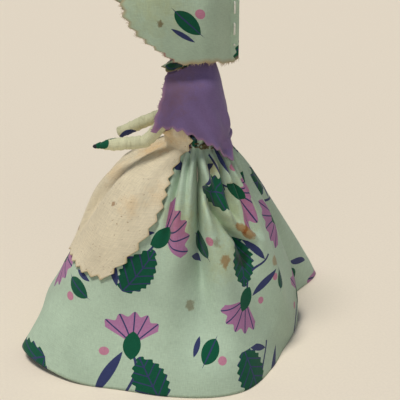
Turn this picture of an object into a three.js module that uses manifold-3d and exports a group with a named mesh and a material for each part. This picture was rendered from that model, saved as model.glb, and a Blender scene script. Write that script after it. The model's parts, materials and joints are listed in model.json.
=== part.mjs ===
// A cloth doll that stands on its skirt: a wire figure wound with strips of cotton, a stuffed head in a
// sunbonnet, and a bodice, shawl, apron, skirt and petticoat. Millimetres, +Z up, the doll faces -Y and
// its left hand is on +X. The waist stands on the doll's own axis until the end, where the whole figure
// is moved so that the origin lies under the middle of its footprint.
import * as THREE from "three";
import { mergeVertices } from "three/addons/utils/BufferGeometryUtils.js";
import Module from "manifold-3d";

const wasm = await Module();
wasm.setup();

// Driving dimensions: cloth, wire and thread
const CLOTH = 0.8; // one layer of cloth with its turned or frayed edge
const FIT = 0.35; // air between two pieces that lie on each other
const WIRE_R = 0.6;
const THREAD_R = 0.35;
const THREAD_AIR = 0.55; // air between neighbouring turns of thread
const TOOTH = 1.3; // depth of the zigzag that pinking shears leave

// Driving dimensions: heights of the figure
const WAIST_Z = 87;
const HIP_DROP = 8; // below the waist
const SHOULDER_RISE = 25; // above the waist
const NECK_RISE = 7; // from the shoulders to where the wound neck starts
const NECK_LENGTH = 5;
const HIP_Z = WAIST_Z - HIP_DROP;
const SHOULDER_Z = WAIST_Z + SHOULDER_RISE;
const NECK_Z = SHOULDER_Z + NECK_RISE;

// Driving dimensions: torso
const WADDING_HIP_R = 6.4;
const WADDING_WAIST_R = 7.6;
const WADDING_CHEST_R = 6.8;
const WADDING_NECK_R = 4;
const NECK_R = 3.2;

// Driving dimensions: head and bonnet
const HEAD_R = 12.3; // outside of the muslin cover
const HEAD_LEAN = 11; // degrees that the head leans forward on the neck
const BONNET_DROP = 2.6; // how far the bonnet hangs below the head
const BONNET_RISE = 9.5; // how far its crown stands above the head
const BONNET_BACK = 17.5;
const BONNET_BRIM = 30.5; // reach of the brim in front of the neck
const BONNET_CHIN = 9; // where the brim starts beside the chin
const BONNET_FIN = 3.5; // flat seam allowance at the back
const BONNET_FIN_AIR = 0.7; // between the two layers of that allowance
const BONNET_SLOPE = 3; // how far the crown falls towards the back
const BONNET_CURTAIN = 2; // how much lower it hangs behind the neck
const BONNET_CORNER = 4.5; // how far its lower back corner is cut up
const SEAM_START = 3; // from the bonnet's lower edge to the first stitch
const STITCH = 4;
const STITCHES = 6;

// Driving dimensions: limbs
const ARM_R = 2.6;
const LIMB_ROUNDING = 3.2; // length of a limb's rounded end
const LEFT_UPPER_ARM = 31;
const LEFT_FOREARM = 13.4;
const LEFT_HAND = 8;
const RIGHT_UPPER_ARM = 16.7; // the right arm was cut shorter
const RIGHT_FOREARM = 18.5;
const RIGHT_HAND = 9.5;
const LEG_R = 3.5;
const ANKLE_R = 2.4;
const LEG_SPREAD = 3; // how much wider the ankles stand than the hips
const HIP_X = 4.6;
const FOOT_LENGTH = 14;
const FOOT_WIDTH = 6;
const FOOT_HEIGHT = 5;
const FOOT_LIFT = 0.4; // the hem carries the doll, so the soles clear the table

// How the wire arms are bent: degrees below the horizon, and outward from straight ahead
const ARM_POSES = {
  left: {
    side: 1,
    lengths: [LEFT_UPPER_ARM, LEFT_FOREARM, LEFT_HAND],
    bends: [[49.7, -13.6], [2, -2.5], [3, -2]],
  },
  right: {
    side: -1,
    lengths: [RIGHT_UPPER_ARM, RIGHT_FOREARM, RIGHT_HAND],
    bends: [[78, 0], [23, 8], [25, 9]],
  },
};

// Driving dimensions: skirt and petticoat
const WAIST_BAND = 4; // height of the tied, flat part of the gathers
const SKIRT_HEADING = 3; // frill above the tie
const HEM_RADIUS = 60;
const FOLD_DEPTH = 17; // the furthest that a fold of the hem stands out or in
const HEM_LIFT = 4.5; // the hem stands off the table at the front
const VALLEY_DEPTH = 8; // the deep fold on the doll's left
const VALLEY_ANGLE = 85;
const VALLEY_WIDTH = 15;
const PUFF = 6; // how far the front stands out below the waist
const PUFF_ANGLES = [-95, -55, 15, 60]; // degrees where that starts, is full, and ends
const PUFF_FALLS = [0.14, 0.6]; // shares of the drop where it is fullest and where it has ended
const SWELL = [118, 145, 176, 188]; // degrees where the left of the back starts to swell, and stops
const SWELL_POWER = 2.3; // how soon that swelling is as wide as the hem
const CREASE_DEPTH = 5; // the fold behind it
const CREASE_ANGLE = 187;
const CREASE_WIDTH = 7;
// Soft folds all round the skirt, and sharper ones drawn in by the gathers: degrees at the waist and at the
// hem, depth, and the share of the drop where they have opened out
const RIPPLES = 11;
const RIPPLE_DEPTH = 1.3;
const DRAWN_FOLD_WIDTH = 5;
const DRAWN_FOLDS = [
  [7, 13, 2.4, 0.42], [69, 64, 1.8, 0.5], [83, 87, 3.4, 0.8], [98, 106, 1.8, 0.5], [112, 122, 1.6, 0.45],
  [150, 154, 1.6, 0.5], [222, 226, 2.2, 0.6], [252, 256, 2, 0.55], [287, 283, 2.2, 0.6],
  [306, 302, 1.6, 0.45],
];
const PETTICOAT_BELL = 1.5; // it hangs close at first and spreads below
const PETTICOAT_EASE = 5; // between the petticoat's hem and the skirt's deepest fold
const PETTICOAT_LIFT = 3;
// The hem's folds: degrees from the front towards the doll's left, and the share of the fold depth
const HEM_FOLDS = [
  [14, 1], [32, 0.65], [51, 0.12], [70, 0], [98, -0.06], [119, -0.59], [139, -0.94], [177, -0.85],
  [194, -0.24], [210, 0.5], [236, 0.29], [266, -0.41], [298, 0.18], [330, 0.35], [350, 0.7],
];

// Driving dimensions: apron and shawl
const APRON_HEADING = 3.6;
// The frill's height as a share of that: it lies low under the right arm and stands up under the left. Each
// knot has the share of the way from the apron's middle to its side, negative on the doll's right.
const FRILL_SHARES = [
  [-1, 0.6], [-0.6, 0.4], [-0.3, 0.25], [0, 0.4], [0.2, 0.5], [0.35, 0.95], [0.5, 1.4], [0.65, 1.7],
  [0.8, 1.6], [0.9, 1.35], [1, 0.9],
];
const APRON_FLARE = 1.6; // how far the frill leans out
const APRON_TOP_ANGLE = 72; // half the arc that it covers at the waist
const APRON_BOTTOM_ANGLE = 35; // and at its lower edge
const APRON_LENGTH = 47; // below the tied band
const APRON_AIR = 0.6;
const APRON_SETTLE = 3; // drop below the band in which that air opens
const SHAWL_COLLAR = 2; // how far the shawl stands above the torso's neck
const SHAWL_NECK_R = 7.2;
const SHAWL_EASE = 1.2; // room between the upper arms and the shawl
const SHAWL_FRONT_RISE = 8.5; // its front corners end this far above the waist
const SHAWL_TAIL_DROP = 6.8; // and its back corners this far below it
// Its lower edge: the share of the way from a front corner to the middle of the back, and the share of the
// drop from the front corner to the back corner
const SHAWL_EDGE = [
  [0, 0], [0.11, -0.1], [0.26, -0.03], [0.44, 0.2], [0.62, 0.51], [0.75, 1], [0.85, 0.72], [1, 0.58],
];
const SHAWL_TAIL_FLARE = 1.5; // how far its lower back edge stands off the skirt
const SHAWL_LEFT_REACH = 21; // how far its lower front corners come forward
const SHAWL_RIGHT_REACH = 10.5;

// Cotton colours and finishes
const material = (color) => new THREE.MeshStandardMaterial({ color, roughness: 0.95, metalness: 0 });
const PRINT = material("#b4c6a9");
const STRIP = material("#c9cda6");
const LILAC = material("#72598a");
const CREAM = material("#ddd0b0");
const MUSLIN = material("#e3d9c3");
const COTTON_WOOL = material("#efebe0");
const DARK_THREAD = material("#3d3526");
const WHITE_THREAD = material("#e9e6da");
const WIRE = new THREE.MeshStandardMaterial({ color: "#8a8780", roughness: 0.4, metalness: 1 });

// Small helpers
const radians = THREE.MathUtils.degToRad;
const { lerp, smoothstep, clamp } = THREE.MathUtils;
const doll = new THREE.Group();

function addMesh(parent, name, geometry, look) {
  const mesh = new THREE.Mesh(geometry, look);
  mesh.name = name;
  parent.add(mesh);
  return mesh;
}

function addGroup(parent, name, position) {
  const group = new THREE.Group();
  group.name = name;
  group.position.copy(position);
  parent.add(group);
  return group;
}

// A smooth curve through [x, y] knots, with the slope at each knot taken from its neighbours.
function through(knots) {
  const slope = (i) => {
    const a = knots[Math.max(i - 1, 0)];
    const b = knots[Math.min(i + 1, knots.length - 1)];
    return (b[1] - a[1]) / (b[0] - a[0]);
  };
  return (x) => {
    let i = 0;
    while (i < knots.length - 2 && (x - knots[i + 1][0]) * (knots[1][0] - knots[0][0]) > 0) i++;
    const [x0, y0] = knots[i];
    const [x1, y1] = knots[i + 1];
    const span = x1 - x0;
    const t = clamp((x - x0) / span, 0, 1);
    const rise = y1 - y0;
    const start = slope(i) * span;
    const end = slope(i + 1) * span;
    return y0 + t * start + t * t * (3 * rise - 2 * start - end) + t * t * t * (start + end - 2 * rise);
  };
}

// Boolean work: a closed geometry as a solid, and back
function solidOf(geometry) {
  const bare = geometry.clone();
  bare.deleteAttribute("normal");
  bare.deleteAttribute("uv");
  const merged = mergeVertices(bare, 1e-4);
  const triVerts = new Uint32Array(merged.index.array);
  return new wasm.Manifold(
    new wasm.Mesh({ numProp: 3, vertProperties: merged.attributes.position.array, triVerts }),
  );
}

function geometryOf(solid) {
  const mesh = solid.getMesh();
  const geometry = new THREE.BufferGeometry();
  geometry.setAttribute("position", new THREE.BufferAttribute(mesh.vertProperties, 3));
  geometry.setIndex(new THREE.BufferAttribute(mesh.triVerts, 1));
  return geometry;
}

const cut = (geometry, ...tools) =>
  geometryOf(tools.reduce((solid, tool) => solid.subtract(solidOf(tool)), solidOf(geometry)));

// A solid of revolution about Z from [radius, height] points that close on themselves or on the axis.
function turned(profile, segments) {
  const points = profile.map(([r, z]) => new THREE.Vector2(r, z));
  return new THREE.LatheGeometry(points, segments).rotateX(Math.PI / 2);
}

const rod = (radius, length, sides = 6) => new THREE.CylinderGeometry(radius, radius, length, sides);

// A tube of thread along a curve
function threadAlong(points, steps) {
  const section = new THREE.Shape();
  section.absarc(0, 0, THREAD_R, 0, 2 * Math.PI);
  return new THREE.ExtrudeGeometry(section, {
    steps,
    curveSegments: 3,
    extrudePath: new THREE.CatmullRomCurve3(points),
  });
}

// The least air between the turns of a wound thread, measured between points at least half a turn apart
function leastAir(points, stepsPerTurn) {
  let least = Infinity;
  points.forEach((p, i) =>
    points.slice(i + stepsPerTurn / 2).forEach((q) => {
      least = Math.min(least, p.distanceTo(q) - 2 * THREAD_R);
    }),
  );
  return least;
}

// A layer of cloth as a closed solid. place(u, v) gives the middle of the cloth for u and v from 0 to 1,
// rows lists the values of v, and outward(u, v), where given, is the direction of its thickness.
function clothSolid({ place, columns, rows, closed = false, outward }) {
  const step = 1e-3;
  const faceNormal = (u, v) => {
    const alongU = place(closed ? u + step : Math.min(u + step, 1), v);
    alongU.sub(place(closed ? u - step : Math.max(u - step, 0), v));
    const alongV = place(u, Math.min(v + step, 1)).sub(place(u, Math.max(v - step, 0)));
    return alongU.cross(alongV).normalize();
  };
  const across = closed ? columns : columns + 1;
  const positions = [];
  for (const face of [0.5, -0.5]) {
    for (const v of rows) {
      for (let i = 0; i < across; i++) {
        const u = i / columns;
        const direction = outward ? outward(u, v) : faceNormal(u, v);
        positions.push(...place(u, v).addScaledVector(direction, face * CLOTH).toArray());
      }
    }
  }
  const last = rows.length - 1;
  const at = (face, j, i) => face * across * rows.length + j * across + (i % across);
  const index = [];
  const quad = (a, b, c, d) => index.push(a, b, c, a, c, d);
  for (let i = 0; i < columns; i++) {
    for (let j = 0; j < last; j++) {
      quad(at(0, j, i), at(0, j, i + 1), at(0, j + 1, i + 1), at(0, j + 1, i));
      quad(at(1, j, i), at(1, j + 1, i), at(1, j + 1, i + 1), at(1, j, i + 1));
    }
    quad(at(0, 0, i), at(1, 0, i), at(1, 0, i + 1), at(0, 0, i + 1));
    quad(at(0, last, i), at(0, last, i + 1), at(1, last, i + 1), at(1, last, i));
  }
  for (let j = 0; j < last && !closed; j++) {
    quad(at(0, j, 0), at(0, j + 1, 0), at(1, j + 1, 0), at(1, j, 0));
    quad(at(0, j, columns), at(1, j, columns), at(1, j + 1, columns), at(0, j + 1, columns));
  }
  const geometry = new THREE.BufferGeometry();
  geometry.setAttribute("position", new THREE.Float32BufferAttribute(positions, 3));
  geometry.setIndex(index);
  const facesOut = new wasm.Manifold(
    new wasm.Mesh({
      numProp: 3,
      vertProperties: new Float32Array(positions),
      triVerts: new Uint32Array(index),
    }),
  ).volume();
  if (facesOut < 0) geometry.setIndex(index.toReversed());
  return geometry;
}

const evenRows = (count) => Array.from({ length: count + 1 }, (_, j) => j / count);
const zigzag = (i, columnsPerTooth = 2) => TOOTH * (1 - Math.abs(2 * ((i / columnsPerTooth) % 1) - 1));

// A length of wire wound with cloth, along +Z from a joint at 0 to a joint at its full length. Its ends
// are rounded off and stand back from the joints, so that it can bend there, and the wire lies in its bore.
const LIMB_BORE = WIRE_R + FIT;
const END_GAP = 0.95; // from a joint to the cloth on either side of it
const endLength = (length) => Math.min(LIMB_ROUNDING, length / 4);
function limbProfile(length, startRadius, endRadius, closedTip) {
  const round = endLength(length);
  const tip = closedTip ? length : length - END_GAP;
  const shares = [[0.25, 0.68], [0.5, 0.9], [1, 1]];
  const side = [
    [LIMB_BORE + 0.1, END_GAP],
    ...shares.map(([along, share]) => [startRadius * share, END_GAP + round * along]),
    [(startRadius + endRadius) * 0.52, length / 2],
    ...shares.toReversed().map(([along, share]) => [endRadius * share, tip - round * along]),
  ];
  if (closedTip) {
    const blind = tip - round;
    return [[0, blind], [LIMB_BORE, blind], [LIMB_BORE, END_GAP], ...side, [endRadius * 0.45, tip], [0, tip]];
  }
  return [[LIMB_BORE, END_GAP], ...side, [LIMB_BORE + 0.1, tip], [LIMB_BORE, tip], [LIMB_BORE, END_GAP]];
}

// A length of wire along +Z. It ends in points at its joints, which leaves the bend room on every side.
const POINT_GAP = 0.15;
function pointedWire(start, end) {
  const slant = 0.75 * WIRE_R;
  const side = [[WIRE_R / 4, start], [WIRE_R, start + slant], [WIRE_R, end - slant], [WIRE_R / 4, end]];
  return turned([[0, start], ...side, [0, end]], 6);
}

function addLimb(parent, name, length, startRadius, endRadius, direction, closedTip) {
  const turn = new THREE.Quaternion().setFromUnitVectors(new THREE.Vector3(0, 0, 1), direction);
  const wrap = turned(limbProfile(length, startRadius, endRadius, closedTip), 10);
  addMesh(parent, `${name}_wrap`, wrap, STRIP).quaternion.copy(turn);
  const wireEnd = closedTip ? length - endLength(length) - FIT : length - POINT_GAP;
  addMesh(parent, `${name}_wire`, pointedWire(POINT_GAP, wireEnd), WIRE).quaternion.copy(turn);
}

// Torso: spine wire, wadding, bodice and the wire that carries the arms
const spineBore = WIRE_R + FIT;
const waddingBottom = HIP_Z + FIT / 2;
const waddingRadius = through([
  [waddingBottom, WADDING_HIP_R],
  [WAIST_Z, WADDING_WAIST_R],
  [(WAIST_Z + SHOULDER_Z) / 2, WADDING_CHEST_R],
  [SHOULDER_Z, WADDING_CHEST_R],
  [NECK_Z, WADDING_NECK_R],
]);
const bodiceInner = (z) => waddingRadius(z) + FIT;
const bodiceOuter = (z) => bodiceInner(z) + CLOTH;
const bodiceBottom = WAIST_Z - WAIST_BAND;
const ARM_WIRE_Y = -(2 * WIRE_R + FIT);
const SHOULDER_X = bodiceOuter(SHOULDER_Z) + FIT + ARM_R;
const armWireHalf = SHOULDER_X - 0.5 * ARM_R - FIT;

const heightsBetween = (low, high, count) => evenRows(count).map((t) => lerp(low, high, t));
const alongX = (radius) =>
  rod(radius, 4 * SHOULDER_X, 8).rotateZ(Math.PI / 2).translate(0, ARM_WIRE_Y, SHOULDER_Z);

function buildTorso() {
  const outside = heightsBetween(waddingBottom, NECK_Z, 9).map((z) => [waddingRadius(z), z]);
  const wadding = turned(
    [[spineBore, waddingBottom], ...outside, [spineBore, NECK_Z], [spineBore, waddingBottom]],
    18,
  );
  addMesh(doll, "torso_wadding", cut(wadding, alongX(spineBore)), COTTON_WOOL);

  const levels = heightsBetween(bodiceBottom, NECK_Z, 8);
  const skin = levels.map((z) => [bodiceOuter(z), z]);
  const lining = levels.map((z) => [bodiceInner(z), z]).reverse();
  const bodice = turned([...skin, ...lining, skin[0]], 18);
  addMesh(doll, "bodice", cut(bodice, alongX(spineBore)), PRINT);

  const spine = rod(WIRE_R, NECK_Z - waddingBottom).rotateX(Math.PI / 2);
  addMesh(doll, "spine_wire", spine.translate(0, 0, (NECK_Z + waddingBottom) / 2), WIRE);
  const arms = rod(WIRE_R, 2 * armWireHalf).rotateZ(Math.PI / 2);
  addMesh(doll, "shoulder_wire", arms.translate(0, ARM_WIRE_Y, SHOULDER_Z), WIRE);
}

// Skirt and petticoat, as radii about the waist's axis at an angle from the front and a height
const petticoatWaistR = bodiceOuter(WAIST_Z) + FIT + CLOTH / 2;
const skirtWaistR = petticoatWaistR + CLOTH + FIT;
const bandTop = WAIST_Z + WAIST_BAND / 2;
const bandBottom = WAIST_Z - WAIST_BAND / 2;
const HEADING_FLARE = 1.2; // how far the skirt's own frill leans out
const hemCurve = through([
  [HEM_FOLDS.at(-1)[0] - 360, HEM_FOLDS.at(-1)[1]],
  ...HEM_FOLDS,
  [HEM_FOLDS[0][0] + 360, HEM_FOLDS[0][1]],
  [HEM_FOLDS[1][0] + 360, HEM_FOLDS[1][1]],
]);
const turnOf = (angle) => ((angle % 360) + 360) % 360;
const offFront = (angle) => Math.abs(turnOf(angle + 180) - 180);
const hemRadius = (angle) => HEM_RADIUS + FOLD_DEPTH * hemCurve(turnOf(angle));
const hemHeight = (angle) => HEM_LIFT * (1 - smoothstep(offFront(angle), 8, 44));
// The bell bulges, most of all at the front.
const bellPower = (angle) => 0.79 - 0.04 * Math.cos(radians(angle));

function skirtRadius(angle, z) {
  const turn = turnOf(angle);
  const fall = clamp((bandBottom - z) / (bandBottom - hemHeight(angle)), 0, 1);
  const swell = smoothstep(turn, SWELL[0], SWELL[1]) * (1 - smoothstep(turn, SWELL[2], SWELL[3]));
  const bell = lerp(Math.pow(fall, bellPower(angle)), 1 - Math.pow(1 - fall, SWELL_POWER), swell);
  const fold = (depth, middle, width) => depth * Math.exp(-Math.pow((turn - middle) / width, 2));
  const opens = smoothstep(fall, 0.02, 0.35);
  const valley = fold(VALLEY_DEPTH, VALLEY_ANGLE, VALLEY_WIDTH) * opens * (1 - smoothstep(fall, 0.5, 0.95));
  const crease = fold(CREASE_DEPTH, CREASE_ANGLE, CREASE_WIDTH) * opens;
  const side = turnOf(angle + 180) - 180;
  const [puffStart, puffFull, puffFade, puffEnd] = PUFF_ANGLES;
  const inFront = smoothstep(side, puffStart, puffFull) * (1 - smoothstep(side, puffFade, puffEnd));
  const puff = PUFF * inFront * smoothstep(fall, 0, PUFF_FALLS[0]) * (1 - smoothstep(fall, ...PUFF_FALLS));
  const round = radians(turn);
  const wave = Math.cos(RIPPLES * round + 1.2 * Math.sin(3 * round + 2) + 0.6 * Math.sin(2 * round));
  const ripple = RIPPLE_DEPTH * wave * smoothstep(fall, 0.05, 0.25) * (1 - smoothstep(fall, 0.45, 0.92));
  const drawn = DRAWN_FOLDS.reduce((sum, [top, hem, depth, end]) => {
    const shown = smoothstep(fall, 0.02, 0.14) * (1 - smoothstep(fall, end - 0.3, end));
    return sum + fold(depth, lerp(top, hem, fall), DRAWN_FOLD_WIDTH) * shown;
  }, 0);
  const frill = HEADING_FLARE * smoothstep(z, bandTop, bandTop + SKIRT_HEADING);
  return lerp(skirtWaistR, hemRadius(angle), bell) + puff - valley - crease - drawn + ripple + frill;
}

// A point at an angle from the front, turning towards the doll's left
const around = (angle, radius, z) =>
  new THREE.Vector3(radius * Math.sin(radians(angle)), -radius * Math.cos(radians(angle)), z);
const radialAt = (angle) => around(angle, 1, 0);

// Rows as shares of the drop from the band to the hem
const SKIRT_FALLS = [0, 0.05, 0.12, 0.22, 0.34, 0.48, 0.64, 0.82, 1];
function buildSkirt() {
  const height = (angle, v) => {
    if (v < 0.1) return lerp(bandTop + SKIRT_HEADING, bandTop, v / 0.1);
    if (v < 0.2) return lerp(bandTop, bandBottom, (v - 0.1) / 0.1);
    return lerp(bandBottom, hemHeight(angle), (v - 0.2) / 0.8);
  };
  const place = (u, v) => {
    const z = height(u * 360, v);
    return around(u * 360, skirtRadius(u * 360, z), z);
  };
  const rows = [0, 0.1, ...SKIRT_FALLS.map((t) => 0.2 + 0.8 * t)];
  const outward = (u) => radialAt(u * 360);
  addMesh(doll, "skirt", clothSolid({ place, columns: 120, rows, closed: true, outward }), PRINT);
}

const deepestHem = HEM_RADIUS + FOLD_DEPTH * Math.min(...HEM_FOLDS.map(([, share]) => share));
const petticoatHemR = deepestHem - PETTICOAT_EASE;
function buildPetticoat() {
  const place = (u, v) => {
    const fall = clamp((v - 0.2) / 0.8, 0, 1);
    const z = v < 0.2 ? lerp(bandTop, bandBottom, v / 0.2) : lerp(bandBottom, PETTICOAT_LIFT, fall);
    return around(u * 360, lerp(petticoatWaistR, petticoatHemR, Math.pow(fall, PETTICOAT_BELL)), z);
  };
  const outward = (u) => radialAt(u * 360);
  const rows = [0, 0.2, 0.35, 0.6, 1];
  addMesh(doll, "petticoat", clothSolid({ place, columns: 40, rows, closed: true, outward }), MUSLIN);
}

// Apron: gathered under the same tie, lying on the front of the skirt
const apronWaistR = skirtWaistR + CLOTH + FIT;
const apronTop = bandTop + APRON_HEADING;
const apronBottom = bandBottom - APRON_LENGTH;
function buildApron() {
  const columns = 40;
  const rowAt = (z) => (apronTop - z) / (apronTop - apronBottom);
  const falls = [0, 0.05, 0.12, 0.22, 0.34, 0.48, 0.64, 0.82, 1];
  const rows = [1, 0.6, 0.3, 0].map((t) => rowAt(bandTop + t * APRON_HEADING));
  rows.push(...falls.map((t) => rowAt(lerp(bandBottom, apronBottom, t))));
  const halfAngle = through([
    [apronTop, APRON_TOP_ANGLE],
    [bandTop, APRON_TOP_ANGLE],
    [lerp(bandBottom, apronBottom, 0.1), lerp(APRON_TOP_ANGLE, APRON_BOTTOM_ANGLE, 0.4)],
    [lerp(bandBottom, apronBottom, 0.42), lerp(APRON_TOP_ANGLE, APRON_BOTTOM_ANGLE, 0.52)],
    [lerp(bandBottom, apronBottom, 0.7), lerp(APRON_TOP_ANGLE, APRON_BOTTOM_ANGLE, 0.71)],
    [apronBottom, APRON_BOTTOM_ANGLE],
  ]);
  const frillShare = through(FRILL_SHARES);
  const place = (u, v) => {
    const share = 2 * u - 1;
    const pinked = v === 1 ? zigzag(Math.round(u * columns), 4) : 0;
    const level = lerp(apronTop, apronBottom, v) + pinked;
    const z = level > bandTop ? lerp(bandTop, level, frillShare(share)) : level;
    const angle = share * halfAngle(z);
    const lean = APRON_FLARE * smoothstep(z, bandTop, apronTop) * (1 - Math.pow(share, 4));
    const air = APRON_AIR * smoothstep(bandBottom - z, 0, APRON_SETTLE);
    return around(angle, skirtRadius(angle, z) + CLOTH + FIT + air + lean, z);
  };
  const outward = (u, v) => radialAt((2 * u - 1) * halfAngle(lerp(apronTop, apronBottom, v)));
  addMesh(doll, "apron", clothSolid({ place, columns, rows, outward }), CREAM);
}

// The tie: dark thread wound round the waist, over the apron in front and the skirt behind
const TIE_TURNS = 2.5;
const TIE_STEPS = 20; // per turn
function buildWaistThread() {
  const pitch = 2 * THREAD_R + THREAD_AIR;
  const seat = (angle) => {
    const overApron = 1 - smoothstep(offFront(angle), APRON_TOP_ANGLE + 3, APRON_TOP_ANGLE + 16);
    return lerp(skirtWaistR, apronWaistR, overApron) + CLOTH / 2 + FIT + THREAD_R;
  };
  const points = Array.from({ length: TIE_TURNS * TIE_STEPS + 1 }, (_, i) => {
    const turns = i / TIE_STEPS;
    const angle = 100 + 360 * turns;
    return around(angle, seat(angle), WAIST_Z + pitch * (turns - TIE_TURNS / 2));
  });
  console.log("waist thread, least air between turns:", leastAir(points, TIE_STEPS).toFixed(2), "mm");
  addMesh(doll, "waist_thread", threadAlong(points, points.length - 1), DARK_THREAD);
}

// Shawl: round the back and straight forward over both arms, open at the front
const shawlTop = NECK_Z + SHAWL_COLLAR;
const shawlFrontEnd = WAIST_Z + SHAWL_FRONT_RISE;
const shawlTail = WAIST_Z - SHAWL_TAIL_DROP;
const shawlSide = SHOULDER_X + ARM_R + SHAWL_EASE + CLOTH / 2;
const shoulderDrop = shawlTop - SHOULDER_Z;
const shawlHalfWidth = through([
  [shawlTop, SHAWL_NECK_R],
  [shawlTop - 0.4 * shoulderDrop, lerp(SHAWL_NECK_R, shawlSide, 0.42)],
  [shawlTop - 0.8 * shoulderDrop, lerp(SHAWL_NECK_R, shawlSide, 0.86)],
  [shawlTop - 1.2 * shoulderDrop, shawlSide],
  [shawlFrontEnd, shawlSide + 1.2],
]);
const shawlBackAtWaist = skirtWaistR + HEADING_FLARE + CLOTH + FIT;
const shawlBack = through([
  [shawlTop, SHAWL_NECK_R],
  [SHOULDER_Z, lerp(SHAWL_NECK_R, shawlBackAtWaist, 0.42)],
  [lerp(SHOULDER_Z, WAIST_Z, 0.6), lerp(SHAWL_NECK_R, shawlBackAtWaist, 0.85)],
  [WAIST_Z, shawlBackAtWaist],
]);
const forwardTo = (reach) =>
  through([
    [shawlTop, 0.85 * SHAWL_NECK_R],
    [shawlTop - 0.4 * shoulderDrop, lerp(0.85 * SHAWL_NECK_R, reach, 0.5)],
    [SHOULDER_Z, lerp(0.85 * SHAWL_NECK_R, reach, 0.64)],
    [shawlFrontEnd, reach],
  ]);
const shawlForward = { 1: forwardTo(SHAWL_LEFT_REACH), [-1]: forwardTo(SHAWL_RIGHT_REACH) };
const PANEL = 0.22; // share of the shawl's width in each straight front panel

function shawlPlan(u, z) {
  const half = shawlHalfWidth(Math.max(z, shawlFrontEnd));
  if (u < PANEL || u > 1 - PANEL) {
    const share = 1 - Math.min(u, 1 - u) / PANEL;
    const side = u < 0.5 ? 1 : -1;
    return new THREE.Vector3(side * half, -share * shawlForward[side](z), z);
  }
  const turn = (Math.PI * (u - PANEL)) / (1 - 2 * PANEL);
  const point = new THREE.Vector3(half * Math.cos(turn), shawlBack(z) * Math.sin(turn), z);
  // Below the waist the cloth is pushed out by the skirt that it lies on.
  const angle = THREE.MathUtils.radToDeg(Math.atan2(point.x, -point.y));
  const reach = Math.hypot(point.x, point.y);
  const flare = SHAWL_TAIL_FLARE * smoothstep(bandTop - z, 0, bandTop - shawlTail);
  const bed = z < bandTop ? skirtRadius(angle, z) + CLOTH + FIT + APRON_AIR + flare : 0;
  const pushed = Math.pow(Math.pow(reach, 12) + Math.pow(bed, 12), 1 / 12);
  return point.multiply(new THREE.Vector3(pushed / reach, pushed / reach, 1));
}

const edgeDrop = through(SHAWL_EDGE);
const shawlLowerEdge = (u) => lerp(shawlFrontEnd, shawlTail, edgeDrop(2 * Math.min(u, 1 - u)));

function buildShawl() {
  const columns = 44;
  const place = (u, v) => {
    const pinked = v === 1 ? zigzag(Math.round(u * columns)) : 0;
    return shawlPlan(u, lerp(shawlTop, shawlLowerEdge(u), v) + pinked);
  };
  addMesh(doll, "shawl", clothSolid({ place, columns, rows: evenRows(9) }), LILAC);
}

// The neck tie: dark thread wound round the neck of the bodice, inside the shawl
const NECK_TURNS = 2;
const NECK_STEPS = 20; // per turn
const NECK_TIE_DROP = 0.6; // from the top of the bodice to the first turn
function buildNeckThread() {
  const pitch = 2 * THREAD_R + THREAD_AIR;
  const points = Array.from({ length: NECK_TURNS * NECK_STEPS + 1 }, (_, i) => {
    const turns = i / NECK_STEPS;
    const z = NECK_Z - NECK_TIE_DROP - pitch * turns;
    const seat = bodiceOuter(z - THREAD_R) + FIT + THREAD_R; // the bodice widens below the turn
    return around(360 * turns, seat, z);
  });
  console.log("neck thread, least air between turns:", leastAir(points, NECK_STEPS).toFixed(2), "mm");
  addMesh(doll, "neck_thread", threadAlong(points, points.length - 1), DARK_THREAD);
}

// Neck and head: each turns on its own joint, so each has its own length of wire
const neckBottom = NECK_Z + FIT;
const neckTop = NECK_Z + NECK_LENGTH;
const nodZ = neckTop + FIT;
const headDistance = 2 * FIT + HEAD_R; // from the nodding joint to the middle of the head
const headZ = nodZ + headDistance * Math.cos(radians(HEAD_LEAN));
const headBottom = headZ - HEAD_R;
const stuffingR = HEAD_R - CLOTH - FIT;
const COVER_MOUTH = 2.4; // opening where the cover is drawn together round the wire

// Half of the outline of a ball over the joint, from its mouth below to the axis above
function ballProfile(radius, mouth) {
  const start = Math.asin(mouth / radius);
  return evenRows(9).map((t) => {
    const turn = lerp(start, Math.PI, t);
    return [t === 1 ? 0 : radius * Math.sin(turn), headDistance - radius * Math.cos(turn)];
  });
}

function buildHead() {
  const neck = addGroup(doll, "neck", new THREE.Vector3(0, 0, 0));
  const side = [
    [NECK_R * 0.9, neckBottom],
    [NECK_R, neckBottom + 0.2 * NECK_LENGTH],
    [NECK_R, neckTop - 0.2 * NECK_LENGTH],
    [NECK_R * 0.8, neckTop],
  ];
  const ring = [[spineBore, neckBottom], ...side, [spineBore, neckTop], [spineBore, neckBottom]];
  addMesh(neck, "neck_wrap", turned(ring, 12), STRIP);
  addMesh(neck, "neck_wire", pointedWire(neckBottom, nodZ - POINT_GAP), WIRE);

  const head = addGroup(neck, "head", new THREE.Vector3(0, 0, nodZ));
  const ball = addGroup(head, "ball", new THREE.Vector3(0, 0, 0));
  ball.rotation.x = radians(HEAD_LEAN);
  const outer = ballProfile(HEAD_R, COVER_MOUTH);
  const inner = ballProfile(HEAD_R - CLOTH, COVER_MOUTH - 0.2 * CLOTH).reverse();
  addMesh(ball, "head_cover", turned([...inner, ...outer], 18), MUSLIN);
  const wireTop = headDistance + 0.2 * stuffingR;
  const stuffing = ballProfile(stuffingR, spineBore);
  addMesh(ball, "head_stuffing", turned([[0, wireTop], [spineBore, wireTop], ...stuffing], 16), COTTON_WOOL);
  addMesh(ball, "head_wire", pointedWire(POINT_GAP, wireTop - FIT), WIRE);
}

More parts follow.
